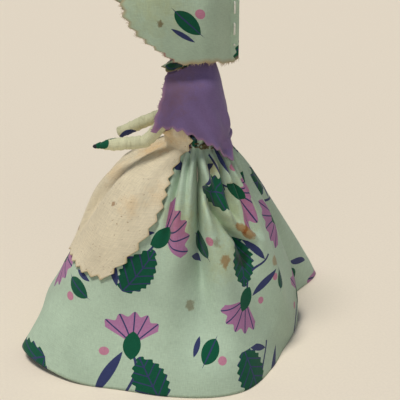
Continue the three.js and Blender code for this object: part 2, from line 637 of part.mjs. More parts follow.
// Bonnet: one cloth folded over the crown, its two back edges sewn together, its brim cut back to the chin
const bonnetBottom = headBottom - BONNET_DROP;
const bonnetTop = headZ + HEAD_R + BONNET_RISE;
const bonnetHalf = 1.06 * (HEAD_R + FIT + CLOTH / 2);
const finHalf = (BONNET_FIN_AIR + CLOTH) / 2;
const finEnd = BONNET_BACK - BONNET_FIN;
const brimEdge = through([
  [0, BONNET_CHIN],
  [0.12, lerp(BONNET_CHIN, BONNET_BRIM, 0.27)],
  [0.34, lerp(BONNET_CHIN, BONNET_BRIM, 0.73)],
  [0.58, BONNET_BRIM],
  [0.8, lerp(BONNET_CHIN, BONNET_BRIM, 0.98)],
  [1, lerp(BONNET_CHIN, BONNET_BRIM, 0.86)],
]);
const BRIM_OPENING = 1.12; // the brim spreads a little wider than the head

function bonnetHalfWidth(y) {
  const opened = Math.sin((Math.PI / 2) * clamp((finEnd - y) / finEnd, 0, 1));
  const spread = lerp(1, BRIM_OPENING, smoothstep(-y, 0, BONNET_BRIM));
  return lerp(finHalf, bonnetHalf * spread, opened);
}

function bonnetPlace(u, v, columns) {
  const turn = Math.PI * u;
  const rise = Math.pow(Math.sin(turn), 0.8);
  const pinked = v === 1 ? zigzag(Math.round(u * columns)) : 0;
  const brim = pinked - brimEdge(rise);
  const y = v < 0.1 ? BONNET_BACK - 10 * v * BONNET_FIN : lerp(finEnd, brim, (v - 0.1) / 0.9);
  const crown = bonnetTop - BONNET_SLOPE * smoothstep(y, 0.3 * BONNET_BACK, BONNET_BACK);
  const hang = BONNET_CURTAIN * smoothstep(y, 0.1 * BONNET_BACK, 0.65 * BONNET_BACK);
  const bottom = bonnetBottom - hang + BONNET_CORNER * smoothstep(y, 0.7 * BONNET_BACK, BONNET_BACK);
  const across = Math.sign(Math.cos(turn)) * Math.sqrt(Math.abs(Math.cos(turn)));
  return new THREE.Vector3(bonnetHalfWidth(y) * across, y, lerp(bottom, crown, rise));
}

const seamY = BONNET_BACK - 0.55 * BONNET_FIN;
const seamBottom = bonnetBottom + SEAM_START;
const threadX = finHalf + CLOTH / 2 + FIT + THREAD_R;
function buildBonnet() {
  const columns = 26;
  const rows = [0, 0.1, 0.17, 0.25, 0.35, 0.48, 0.64, 0.82, 1];
  const place = (u, v) => bonnetPlace(u, v, columns);
  const hood = clothSolid({ place, columns, rows });
  const crossing = (k) =>
    rod(THREAD_R + FIT, 4 * threadX, 6).rotateZ(Math.PI / 2).translate(0, seamY, seamBottom + k * STITCH);
  const holes = Array.from({ length: STITCHES }, (_, k) => crossing(k));
  const head = addGroup(doll.getObjectByName("head"), "hood", new THREE.Vector3(0, 0, -nodZ));
  addMesh(head, "bonnet", cut(hood, ...holes), PRINT);

  // The running stitch goes through both layers and along each side by turns.
  const points = holes.flatMap((_, k) => {
    const sign = k % 2 ? 1 : -1;
    const z = seamBottom + k * STITCH;
    return [-1, -0.8, 0.8, 1].map((x) => new THREE.Vector3(sign * x * threadX, seamY, z));
  });
  addMesh(head, "bonnet_seam_thread", threadAlong(points, 14 * STITCHES), WHITE_THREAD);
}

// Arms: shoulder, elbow and wrist are nested groups, bent as the wire is bent
function direction([below, outward], side) {
  const flat = Math.cos(radians(below));
  const out = radians(outward);
  return new THREE.Vector3(side * flat * Math.sin(out), -flat * Math.cos(out), -Math.sin(radians(below)));
}

function buildArms() {
  for (const [name, pose] of Object.entries(ARM_POSES)) {
    const [upper, forearm, hand] = pose.bends.map((bend) => direction(bend, pose.side));
    const [upperLength, forearmLength, handLength] = pose.lengths;
    const start = new THREE.Vector3(pose.side * SHOULDER_X, ARM_WIRE_Y, SHOULDER_Z);
    const shoulder = addGroup(doll, `${name}_shoulder`, start);
    addLimb(shoulder, `${name}_upper_arm`, upperLength, ARM_R, ARM_R, upper);
    const elbow = addGroup(shoulder, `${name}_elbow`, upper.clone().multiplyScalar(upperLength));
    addLimb(elbow, `${name}_forearm`, forearmLength, ARM_R, 0.95 * ARM_R, forearm);
    const wrist = addGroup(elbow, `${name}_wrist`, forearm.clone().multiplyScalar(forearmLength));
    addLimb(wrist, `${name}_hand`, handLength, 0.95 * ARM_R, 0.72 * ARM_R, hand, true);
  }
}

// Legs: the same wound wire, hidden in the petticoat, with padded feet
const ankleZ = FOOT_LIFT + FOOT_HEIGHT;
function buildLegs() {
  for (const [name, side] of [["left", 1], ["right", -1]]) {
    const hip = addGroup(doll, `${name}_hip`, new THREE.Vector3(side * HIP_X, 0, HIP_Z));
    const ankle = new THREE.Vector3(side * LEG_SPREAD, 0, ankleZ - HIP_Z);
    addLimb(hip, `${name}_leg`, ankle.length(), LEG_R, ANKLE_R, ankle.clone().normalize());

    const ball = new THREE.SphereGeometry(1, 14, 10).rotateX(Math.PI / 2);
    ball.scale(FOOT_WIDTH / 2, FOOT_LENGTH / 2, FOOT_HEIGHT * 0.6);
    const half = FOOT_HEIGHT * 0.6;
    const floor = new THREE.BoxGeometry(4 * FOOT_WIDTH, 4 * FOOT_LENGTH, FOOT_HEIGHT);
    floor.translate(0, 0, half - 1.5 * FOOT_HEIGHT);
    const foot = cut(ball, floor).translate(0, -0.25 * FOOT_LENGTH, 0.6 - half);
    addMesh(hip, `${name}_foot`, foot, STRIP).position.copy(ankle);
  }
}

buildTorso();
buildPetticoat();
buildSkirt();
buildApron();
buildWaistThread();
buildShawl();
buildNeckThread();
buildHead();
buildBonnet();
buildArms();
buildLegs();

// The origin goes under the middle of the footprint, on the table.
doll.updateMatrixWorld(true);
const footprint = new THREE.Box3().setFromObject(doll, true);
const middle = footprint.getCenter(new THREE.Vector3());
doll.position.set(-middle.x, -middle.y, -footprint.min.z);

const part = new THREE.Group();
part.add(doll);
export default part;
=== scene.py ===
import json
import math

import bpy
import numpy as np
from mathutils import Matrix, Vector


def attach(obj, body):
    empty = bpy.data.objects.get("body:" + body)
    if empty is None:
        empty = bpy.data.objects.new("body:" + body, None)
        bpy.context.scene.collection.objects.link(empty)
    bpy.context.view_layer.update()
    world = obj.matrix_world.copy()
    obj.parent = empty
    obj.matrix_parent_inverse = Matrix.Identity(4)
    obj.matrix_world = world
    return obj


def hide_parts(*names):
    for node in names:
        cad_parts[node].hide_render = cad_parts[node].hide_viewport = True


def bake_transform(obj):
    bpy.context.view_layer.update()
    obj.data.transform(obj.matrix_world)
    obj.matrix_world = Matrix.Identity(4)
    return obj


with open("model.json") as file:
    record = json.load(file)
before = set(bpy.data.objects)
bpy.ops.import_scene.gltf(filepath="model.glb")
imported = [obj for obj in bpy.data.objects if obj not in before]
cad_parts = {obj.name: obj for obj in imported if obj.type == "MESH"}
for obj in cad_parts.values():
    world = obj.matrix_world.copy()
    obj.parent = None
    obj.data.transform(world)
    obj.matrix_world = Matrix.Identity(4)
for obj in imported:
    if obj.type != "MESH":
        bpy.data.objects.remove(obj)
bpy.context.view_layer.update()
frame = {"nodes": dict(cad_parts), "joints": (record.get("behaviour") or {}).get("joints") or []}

# Shapes are worked out in millimetres from the doll's own axis on the table: x towards the doll's left,
# -y to its front, z up. Angles turn from the front towards its left, in degrees.
pivots = {joint["name"]: np.array(joint["pos_m"]) * 1000 for joint in frame["joints"]}
AXIS = np.array([pivots["head_turn"][0], pivots["head_turn"][1], 0.0])
pivots = {name: place - AXIS for name, place in pivots.items()}
scene = bpy.context.scene
FULL_TURN = 2 * math.pi


# Small helpers
def linear(colour):
    """A hex sRGB colour as the linear RGBA that shader sockets take."""
    shares = [int(colour[i : i + 2], 16) / 255 for i in (1, 3, 5)]
    return tuple(s / 12.92 if s <= 0.04045 else ((s + 0.055) / 1.055) ** 2.4 for s in shares) + (1.0,)


def in_metres(place):
    """A place in millimetres from the doll's axis, as the scene has it."""
    return (np.array(place) + AXIS) / 1000


def ease(x, low, high):
    """Rises smoothly from 0 at low to 1 at high."""
    t = np.clip((x - low) / (high - low), 0, 1)
    return t * t * (3 - 2 * t)


def between(x, start, full, fading, end):
    """Rises smoothly from 0 to 1, and falls back to 0."""
    return ease(x, start, full) * (1 - ease(x, fading, end))


def ridge(x, middle, width):
    """A rounded ridge, 1 high at its middle."""
    return np.exp(-(((x - middle) / width) ** 2))


def from_front(angle):
    return (angle + 180) % 360 - 180


def through(knots):
    """A smooth curve through (x, y) knots whose slopes come from their neighbours."""
    xs, ys = np.array(sorted(knots), float).T
    order = np.arange(len(xs))
    ahead, behind = np.minimum(order + 1, len(xs) - 1), np.maximum(order - 1, 0)
    slopes = (ys[ahead] - ys[behind]) / (xs[ahead] - xs[behind])

    def curve(x):
        i = np.clip(np.searchsorted(xs, x) - 1, 0, len(xs) - 2)
        span, rise = xs[i + 1] - xs[i], ys[i + 1] - ys[i]
        t = np.clip((x - xs[i]) / span, 0, 1)
        start, end = slopes[i] * span, slopes[i + 1] * span
        return ys[i] + t * start + t**2 * (3 * rise - 2 * start - end) + t**3 * (start + end - 2 * rise)

    return curve


def teeth(length, depth=1.5, pitch=5.3):
    """The zigzag of pinking shears along an edge, by length in millimetres."""
    return depth * np.abs(2 * ((length / pitch) % 1) - 1)


def ring(columns):
    return np.linspace(0, 360, columns, endpoint=False)


def joined(*parts):
    """Arrays side by side, as points or as places on the cloth."""
    return np.stack(np.broadcast_arrays(*parts), -1)


def around(angle, radius, z):
    turn = np.radians(angle)
    return joined(radius * np.sin(turn), -radius * np.cos(turn), z)


def run_length(points):
    """Length along a line of points, from 0 at its first."""
    steps = np.linalg.norm(np.diff(points, axis=0), axis=1)
    return np.concatenate([[0], np.cumsum(steps)])


def sampled(at, length, points):
    """Points in between those of a line, at given lengths along it."""
    return np.stack([np.interp(at, length, points[:, k]) for k in range(3)], -1)


def smoothed(path, passes):
    for _ in range(passes):
        path[1:-1] = (path[:-2] + 2 * path[1:-1] + path[2:]) / 4
    return path


def directions(line):
    along = np.gradient(line, axis=0)
    return along / np.linalg.norm(along, axis=1)[:, None]


# Each point knows how far it is from a cut edge, in millimetres, and has this where there is none
NO_EDGE = 9.0


def mesh_piece(name, points, faces, face_uvs, rim=NO_EDGE):
    mesh = bpy.data.meshes.new(name)
    mesh.from_pydata(in_metres(points), [], faces)
    flat = mesh.uv_layers.new(name="millimetres")
    flat.data.foreach_set("uv", np.asarray(face_uvs, np.float32).ravel())
    edge = mesh.attributes.new("rim", "FLOAT", "POINT")
    edge.data.foreach_set("value", np.broadcast_to(np.ravel(rim), len(points)).astype(np.float32))
    mesh.shade_smooth()
    piece = bpy.data.objects.new(name, mesh)
    scene.collection.objects.link(piece)
    return piece


def grid_faces(rows, columns, closed):
    """The corners of a grid's faces, as row and column numbers, and the faces as point numbers."""
    j, i = np.meshgrid(np.arange(rows - 1), np.arange(columns if closed else columns - 1), indexing="ij")
    corners = [(j, i), (j, i + 1), (j + 1, i + 1), (j + 1, i)]
    faces = np.stack([a * columns + b % columns for a, b in corners], -1).reshape(-1, 4)
    return corners, faces.tolist()


def cloth_piece(name, points, uv, closed=False, rim=NO_EDGE, thickness=0.5):
    """A layer of cloth over a grid of points. uv has one more column than points where the grid closes."""
    corners, faces = grid_faces(*points.shape[:2], closed)
    face_uvs = np.stack([uv[a, b] for a, b in corners], 2).reshape(-1, 2)
    piece = mesh_piece(name, points.reshape(-1, 3), faces, face_uvs, rim)
    solid = piece.modifiers.new("thickness", "SOLIDIFY")
    solid.thickness = thickness / 1000
    solid.offset = 0
    return piece


# A direction that no tube starts along
ASIDE = (0.3, 0.5, 0.8)


def tube_piece(name, path, radius, columns=8, rim=NO_EDGE, cut_at=0.0):
    """A tube along a line of points, with one radius or one for each point and column."""
    radius = np.broadcast_to(radius, (len(path), columns))
    tangents = directions(path)
    side = np.cross(tangents[0], ASIDE)
    turns = np.radians(ring(columns))[:, None]
    points = []
    for place, tangent, reach in zip(path, tangents, radius):
        side = side - tangent * (side @ tangent)
        side /= np.linalg.norm(side)
        circle = np.cos(turns) * side + np.sin(turns) * np.cross(tangent, side)
        points.append(place + reach[:, None] * circle)
    corners, faces = grid_faces(len(path), columns, True)
    length = run_length(path)
    across = FULL_TURN * radius.mean() / columns
    uvs = np.stack([joined(b * across, length[a]) for a, b in corners], 2).reshape(-1, 2)
    last = (len(path) - 1) * columns
    ends = [list(range(columns))[::-1], list(range(last, last + columns))]
    uvs = np.concatenate([uvs, np.zeros((2 * columns, 2))]) + [0, cut_at]
    return mesh_piece(name, np.array(points).reshape(-1, 3), faces + ends, uvs, rim)


# Loose yarn ends: how many to a millimetre, how far each is rooted in the cloth, and half its thickness from
# root to tip
YARNS_PER_MM, YARN_ROOT, YARN_THICK = 3, 0.3, (0.11, 0.1, 0.04)


def frayed(name, line, off, material, body, slot, longest):
    """Loose yarn ends along a cut edge, each a thin tapered sliver that leans its own way."""
    chance = np.random.default_rng(len(name))
    length = run_length(line)
    count = int(length[-1] * YARNS_PER_MM)
    at = np.sort(chance.uniform(0, length[-1], count))
    root, way = sampled(at, length, line), sampled(at, length, directions(line))
    reach = longest * (0.25 + 0.75 * chance.random(count) ** 2)[:, None]
    lean = chance.normal(0, 0.5, count)[:, None]
    across = np.cross(way, off)
    lift = chance.normal(0, 0.25, count)[:, None]
    tip = root + reach * (np.array(off) + lean * way + lift * across)
    root = root - YARN_ROOT * np.array(off)
    middle = (root + tip) / 2 + 0.15 * reach * lift * way
    rings = []
    for place, thick in zip((root, middle, tip), YARN_THICK):
        for turn in (0, 120, 240):
            a = math.radians(turn)
            rings.append(place + thick * (math.cos(a) * way + math.sin(a) * across))
    points = np.stack(rings, 1).reshape(-1, 3)
    sliver = [(r + k, r + (k + 1) % 3, r + 3 + (k + 1) % 3, r + 3 + k) for r in (0, 3) for k in range(3)]
    sliver += [(2, 1, 0), (6, 7, 8)]
    faces = [tuple(9 * n + c for c in face) for n in range(count) for face in sliver]
    uvs = np.zeros((sum(len(face) for face in faces), 2))
    dress(mesh_piece(name, points, faces, uvs), material, body, slot)


# Camera: the doll's left side, from a little above, as in the photograph. Lengths are in metres, the
# picture's width in pixels and the sensor's in millimetres.
AZIMUTH, ELEVATION, DISTANCE = 80, 25, 0.48
AIM_UP, AIM_ASIDE = 0.058, 0.002
METRES_PER_PIXEL, PICTURE, SENSOR = 0.00042, 400, 36
tilt = math.radians(ELEVATION)
back = Vector(around(AZIMUTH, math.cos(tilt), math.sin(tilt)))
aside = Vector(around(AZIMUTH + 90, 1, 0))
camera = bpy.data.objects.new("camera", bpy.data.cameras.new("camera"))
scene.collection.objects.link(camera)
camera.location = Vector(AXIS / 1000) + aside * AIM_ASIDE + Vector((0, 0, AIM_UP)) + back * DISTANCE
camera.rotation_euler = (-back).to_track_quat("-Z", "Y").to_euler()
camera.data.sensor_width = SENSOR
camera.data.lens = SENSOR * DISTANCE / (METRES_PER_PIXEL * PICTURE)
camera.data.clip_start, camera.data.clip_end = 0.01, 20
scene.camera = camera


# Materials. Patterns are in millimetres of the flat cloth, and stains and wear at places on the doll.
def shader(owner):
    """Empties the nodes of a material or the sky, and returns the function that adds new ones."""
    owner.use_nodes = True
    tree = owner.node_tree
    tree.nodes.clear()

    def add(kind, inputs=(), out=0, **settings):
        """Adds a node, such as Math.ADD, sets or links its inputs and returns one of its outputs."""
        name, _, operation = kind.partition(".")
        made = tree.nodes.new("ShaderNode" + name)
        if operation:
            made.operation = operation
        for key, value in settings.items():
            setattr(made, key, value)
        for key, value in inputs.items() if isinstance(inputs, dict) else enumerate(inputs):
            if isinstance(value, bpy.types.NodeSocket):
                tree.links.new(value, made.inputs[key])
            else:
                made.inputs[key].default_value = value
        return made.outputs[out] if made.outputs else None

    return add


def lens(add, place, centre, turn, length, width):
    """Signed distance to a leaf shape: where two circles overlap. Negative inside."""
    reach = (length**2 / 4 + width**2 / 4) / width
    offset = reach - width / 2
    away = (-math.sin(math.radians(turn)) * offset, math.cos(math.radians(turn)) * offset)
    far = []
    for s in (1, -1):
        middle = (centre[0] + s * away[0], centre[1] + s * away[1], 0)
        far.append(add("VectorMath.DISTANCE", (place, middle), "Value"))
    return add("Math.SUBTRACT", (add("Math.MAXIMUM", far), reach))


def lay(add, below, colour, *masks, blend="MIX"):
    """One ink over another where all its masks let it. Its colour is a hex one or a socket."""
    mask = masks[0]
    for other in masks[1:]:
        mask = add("Math.MULTIPLY", (mask, other))
    ink = linear(colour) if isinstance(colour, str) else colour
    return add("Mix", {0: mask, 6: below, 7: ink}, 2, data_type="RGBA", blend_type=blend)


def leaves(add, ink, place, shapes):
    """Plain leaves over an ink, or round berries where a length is the same as a width."""
    for *shape, colour in shapes:
        ink = lay(add, ink, colour, add("Math.LESS_THAN", (lens(add, place, *shape), 0.0)))
    return ink


# The print's repeat, and how far a motif is moved from its place in it either way, in millimetres
REPEAT, JITTER = (56.0, 48.0), 4


def tossed(add, place, shift, seed):
    """A half-drop repeat: the place in its own repeat, in millimetres, moved and turned at random."""
    moved = add("VectorMath.ADD", (place, shift))
    x, y, _ = add("SeparateXYZ", [add("VectorMath.DIVIDE", (moved, (*REPEAT, 1)))]).node.outputs
    column = add("Math.FLOOR", [x])
    y = add("Math.MULTIPLY_ADD", (column, 0.5, y))
    cell = add("CombineXYZ", (column, add("Math.FLOOR", [y]), seed))
    chance = add("TexWhiteNoise", [cell], "Color", noise_dimensions="3D")
    within = add("CombineXYZ", (add("Math.FRACT", [x]), add("Math.FRACT", [y])))
    local = add("VectorMath.SUBTRACT", (within, (0.5, 0.5, 0)))
    local = add("VectorMath.MULTIPLY", (local, (*REPEAT, 0)))
    either_way = (chance, (2 * JITTER, 2 * JITTER, 0), (-JITTER, -JITTER, 0))
    local = add("VectorMath.ADD", (local, add("VectorMath.MULTIPLY_ADD", either_way)))
    turn = add("Math.MULTIPLY", (add("SeparateColor", [chance], "Blue"), FULL_TURN))
    return add("VectorRotate", {"Vector": local, "Angle": turn}, rotation_type="Z_AXIS")


LEAF_GREEN, MAUVE, NAVY, BLUSH, CHARCOAL = "#0b5038", "#a9749a", "#343b63", "#bb7d92", "#2b2c33"
# Leaves and berries: centre, turn, length, width and ink
SPRIG = [
    ((0, 0), 60, 12, 7.5, LEAF_GREEN), ((0, 0), 60, 16, 0.7, NAVY), ((-5, 4), 0, 3.8, 3.8, BLUSH),
    ((6, -2), 72, 9, 2.6, NAVY),
]
WILLOW = [((-10, 9), 155, 21, 4, NAVY), ((-21, -4), 80, 13, 3, NAVY), ((-1, 11.5), 0, 3.8, 3.8, BLUSH)]
CUP = [((2.5, 1), 0, 13, 7.5, LEAF_GREEN)]


def printed(add, place, ground):
    """A tossed print of flower sprays: a pleated carnation in its cup, a toothed leaf, a stem and willow
    leaves, with a small sprig in the space between each four."""
    sprig = tossed(add, place, (REPEAT[0] / 2, REPEAT[1] / 2, 0), 2.0)
    ink = leaves(add, ground, sprig, SPRIG)
    spray = tossed(add, place, (0, 0, 0), 1.0)
    x, y, _ = add("SeparateXYZ", [spray]).node.outputs
    # Stem, willow leaves and berry
    sway = add("Math.SINE", [add("Math.MULTIPLY", (x, 0.2))])
    stem = add("Math.SUBTRACT", (y, add("Math.MULTIPLY_ADD", (sway, 2.6, 1.0))))
    stem = add("Math.LESS_THAN", (add("Math.ABSOLUTE", [stem]), 0.6))
    span = add("Math.COMPARE", (x, -11.0, 12.0))
    ink = lay(add, ink, NAVY, stem, span)
    ink = leaves(add, ink, spray, WILLOW)
    # Carnation: a fan with a scalloped edge and a line down each pleat, in a green cup
    petal = add("VectorMath.SUBTRACT", (spray, (3, 1, 0)))
    px, py, _ = add("SeparateXYZ", [petal]).node.outputs
    reach = add("VectorMath.LENGTH", [petal], "Value")
    turn = add("Math.ARCTAN2", (py, px))
    scallop = add("Math.COSINE", [add("Math.MULTIPLY", (turn, 15.7))])
    round_edge = add("Math.SUBTRACT", (reach, add("Math.MULTIPLY_ADD", (scallop, 1.1, 14.6))))
    sides = add("Math.SUBTRACT", (add("Math.ABSOLUTE", [turn]), 1.0))
    fan = add("Math.LESS_THAN", (add("Math.MAXIMUM", (round_edge, sides)), 0.0))
    ink = lay(add, ink, MAUVE, fan)
    pleat = add("Math.FRACT", [add("Math.MULTIPLY_ADD", (turn, 2.5, 0.5))])
    pleat = add("Math.ABSOLUTE", [add("Math.SUBTRACT", (pleat, 0.5))])
    pleat = add("Math.LESS_THAN", (add("Math.MULTIPLY", (pleat, reach)), 0.75))
    ink = lay(add, ink, NAVY, pleat, fan)
    ink = leaves(add, ink, spray, CUP)
    # Leaf: a toothed edge, a rib and side veins
    own = add("VectorRotate", (spray, (-12, -8, 0), (0, 0, 1), math.radians(-30)))
    along, across, _ = add("SeparateXYZ", [add("VectorMath.ADD", (own, (12, 8, 0)))]).node.outputs
    tooth = add("Math.SINE", [add("Math.MULTIPLY", (along, 2.2))])
    tooth = add("Math.MULTIPLY", (tooth, 0.5))
    blade = add("Math.ADD", (lens(add, spray, (-12, -8), 30, 22, 14), tooth))
    blade = add("Math.LESS_THAN", (blade, 0.0))
    ink = lay(add, ink, LEAF_GREEN, blade)
    off = add("Math.ABSOLUTE", [across])
    vein = add("Math.MULTIPLY_ADD", (off, -0.8, along))
    vein = add("Math.PINGPONG", (add("Math.ADD", (vein, 40.0)), 2.1))
    vein = add("Math.LESS_THAN", (add("Math.MINIMUM", (off, vein)), 0.3))
    return lay(add, ink, NAVY, vein, blade)


def husks(add, place, ground):
    """Flecks of seed husk in unbleached cotton, under a millimetre across."""
    fleck = add("TexNoise", {"Vector": place, "Scale": 0.8, "Detail": 2.0})
    return lay(add, ground, "#8a6234", add("MapRange", (fleck, 0.67, 0.72, 0.0, 0.6)))


# Where along the cloth each strip was cut, in millimetres
PLAIN_CUT, LEG_CUT = 50.0, 250.0
HAND_CUTS = {"left": 100.0, "right": 200.0}
# What shows of the print on the strips, round and along them
STRIP_SCRAPS = [
    ((9.0, 112.0), 0, 7, 7, LEAF_GREEN), ((11.0, 107.5), 90, 4, 2.2, LEAF_GREEN),
    ((7.5, 114.6), 0, 16, 2, CHARCOAL), ((7.0, 215.0), 90, 8, 4.4, NAVY),
    ((9.5, 268.0), 90, 9, 6, LEAF_GREEN), ((6.0, 290.0), 90, 8, 5, MAUVE),
]


def scraps(add, place, ground):
    return leaves(add, ground, place, STRIP_SCRAPS)


# How slowly a yarn's thickness changes along it
SLUB = 0.12


# Real threads here are 0.15 to 0.3 mm apart, too fine for the picture, so yarns are drawn two to three times
# as coarse.
def cloth_material(
    name, colour, yarn_pitch, fray, pattern=None, stains_and_painted_light=(), fades=(), shade=0.12, fray_width=1.7
):
    """Woven cotton: uneven colour, threads that catch the light, cut edges of another tone, old stains, and
    patches of painted warm light and painted shade.
    """
    material = bpy.data.materials.new(name)
    add = shader(material)
    place = add("UVMap", uv_map="millimetres")
    spot = add("TexCoord", out="Object")
    # Fading and handling: soft changes of tone, about 26 mm across
    faded = add("TexNoise", {"Vector": spot, "Scale": 38.0, "Detail": 3.0})
    worn = add("MapRange", (faded, 0.3, 0.7, 1 - shade, 1 + shade))
    ink = linear(colour)
    if pattern:
        ink = pattern(add, place, ink)
    # Threads: a plain weave of uneven yarns across and along the cloth
    yarns = []
    for across, along in ((1, SLUB), (SLUB, 1)):
        drawn = add("VectorMath.MULTIPLY", (place, (across / yarn_pitch, along / yarn_pitch, 1)))
        yarns.append(add("TexNoise", {"Vector": drawn, "Scale": 1.0, "Detail": 2.0}))
    weave = add("Math.ADD", yarns)
    tone = add("Math.MULTIPLY", (worn, add("MapRange", (weave, 0.7, 1.3, 0.9, 1.1))))
    ink = lay(add, ink, tone, 1.0, blend="MULTIPLY")
    # Stains and painted shade darken the ink, painted warm light tints it yellow, and faded places take its
    # colour away, with edges ragged by about 3 mm
    ragged = add("TexNoise", {"Vector": spot, "Scale": 300.0, "Detail": 5.0, "Roughness": 0.7})
    ragged = add("Math.MULTIPLY_ADD", (ragged, 2.4, -1.2))
    marks = [(*patch, "MULTIPLY") for patch in stains_and_painted_light] + [(*fade, "MIX") for fade in fades]
    for centre, size, mark, strength, soft, blend in marks:
        far = add("VectorMath.DISTANCE", (spot, tuple(in_metres(centre))), "Value")
        far = add("Math.MULTIPLY_ADD", (far, 1000 / size, ragged))
        ink = lay(add, ink, mark, add("MapRange", (far, 1.0, 1 - soft, 0.0, strength)), blend=blend)
    # Cut edges fray to bare yarn
    rim = add("Attribute", (), "Fac", attribute_name="rim")
    rim = add("Math.MULTIPLY_ADD", (faded, 1.2, rim))
    ink = lay(add, ink, fray, add("MapRange", (rim, fray_width, 0.6, 0.0, 0.75)))
    look = {
        "Base Color": ink,
        "Roughness": 0.92,
        "Specular IOR Level": 0.15,
        "Sheen Weight": 0.15,
        "Normal": add("Bump", {"Strength": 0.35, "Distance": 0.0003, "Height": weave}),
    }
    add("OutputMaterial", [add("BsdfPrincipled", look)])
    return material


def plain_material(name, colour, roughness, metallic=0.0, uneven=0.13):
    material = bpy.data.materials.new(name)
    add = shader(material)
    spot = add("TexCoord", out="Object")
    grain = add("TexNoise", {"Vector": spot, "Scale": 900.0, "Detail": 3.0})
    tone = add("MapRange", (grain, 0.3, 0.7, 1 - uneven, 1 + uneven))
    ink = lay(add, linear(colour), tone, 1.0, blend="MULTIPLY")
    look = {"Base Color": ink, "Roughness": roughness, "Metallic": metallic}
    add("OutputMaterial", [add("BsdfPrincipled", look)])
    return material


def dress(piece, material, body, slot, *nodes):
    """Gives a piece its material, the CAD body that it rides on and the CAD nodes that it stands for."""
    piece.data.materials.append(material)
    if body:
        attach(piece, body)
    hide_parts(*nodes)


# Skirt: printed cotton gathered on a thread at the waist, falling in uneven folds to a cut hem
WAIST_Z, BAND, SKIRT_WAIST = 87.0, 4.0, 11.05
BAND_TOP, BAND_BOTTOM = WAIST_Z + BAND / 2, WAIST_Z - BAND / 2
FRILL_TOP = BAND_TOP + 3
HEM_RADIUS, FOLD_DEPTH, HEM_LIFT, LIFT_ARC = 60.0, 17.0, 4.5, (8, 44)
# How fast the bell opens, how much faster in front, and how fast where it swells on the doll's left
BELL_POWER, FRONT_POWER, SWELL_POWER = 0.79, 0.04, 2.3
# The hem's folds: angle, and share of FOLD_DEPTH outward
FOLDS = [
    (14, 1), (32, 0.65), (51, 0.12), (70, 0), (98, -0.06), (119, -0.59), (139, -0.94), (177, -0.85),
    (192, -0.55), (200, -0.2), (207, 0.5), (214, 0.5), (236, 0.29), (266, -0.41), (298, 0.18), (330, 0.35),
    (350, 0.7),
]
hem_curve = through([(a + turn, share) for turn in (-360, 0, 360) for a, share in FOLDS])
# Folds drawn in by the gathers: angle at the waist and at the hem, depth, share of the drop where they end
DRAWN_FOLDS = [
    (14, -25, 2.4, 0.64), (33, 5, 0.9, 0.34), (60, 56, 1.6, 0.5), (83, 87, 3.4, 0.8), (112, 132, 1.6, 0.4),
    (150, 154, 1.6, 0.5), (222, 226, 2.2, 0.6), (252, 256, 2, 0.55), (287, 283, 2.2, 0.6),
    (306, 302, 1.6, 0.45),
]
# Width of a narrow fold in degrees
NARROW = 5
# Bulges and hollows: millimetres outward, and a drop that says where each starts, is full, begins to go and
# is gone, as shares of the way down. Past 1 it runs into the hem.
TO_HEM = (2, 3)
# Wide ones, with an arc that says the same in degrees, from below 0 if it crosses the front
PATCHES = [
    # Under the band the cloth puffs out in front, then hollows and flares to the hem
    (6, (-95, -55, 15, 60), (0, 0.14, 0.14, 0.6)),
    (-2, (-60, -20, 105, 125), (0.15, 0.72, 0.72, 1)),
    # The front of the hem turns sharply back
    (-8, (-70, -25, 1, 13), (0.8, 0.97, *TO_HEM)),
    # The cloth is tucked in before the crease, and swings out behind it to a corner
    (-4.2, (135, 160, 188, 195), (0.06, 0.25, 0.5, 0.95)),
    (2.6, (197, 204, 214, 235), (0.03, 0.25, *TO_HEM)),
]
# Upright ones, with an angle and a width: a valley on the doll's left, a crease behind the swelling, cloth
# that stands up beside the apron, and the corner where the hem turns back
UPPER_DROP = (0.03, 0.13, 0.36, 0.58)
RIDGES = [
    (-8, 85, 15, (0.02, 0.35, 0.5, 0.95)),
    (-6, 190, 8, (0.02, 0.35, *TO_HEM)),
    (2.8, 71, NARROW, UPPER_DROP),
    (0.8, 13, 7, (0.8, 1, *TO_HEM)),
]
# A second valley slants back under the swelling's edge, and the cloth stands up behind it
SLANT_TOP, SLANT_BEND, SLANT_END = 90, 205, 0.41
SLANT_DEPTH, SLANT_STAND = 6.5, 3.2
SWELLING = (118, 145, 176, 188)


def hem_height(angle):
    return HEM_LIFT * (1 - ease(np.abs(from_front(angle)), *LIFT_ARC))


def fall_at(angle, z):
    """Share of the way from the band down to the hem."""
    return np.clip((BAND_BOTTOM - z) / (BAND_BOTTOM - hem_height(angle)), 0, 1)


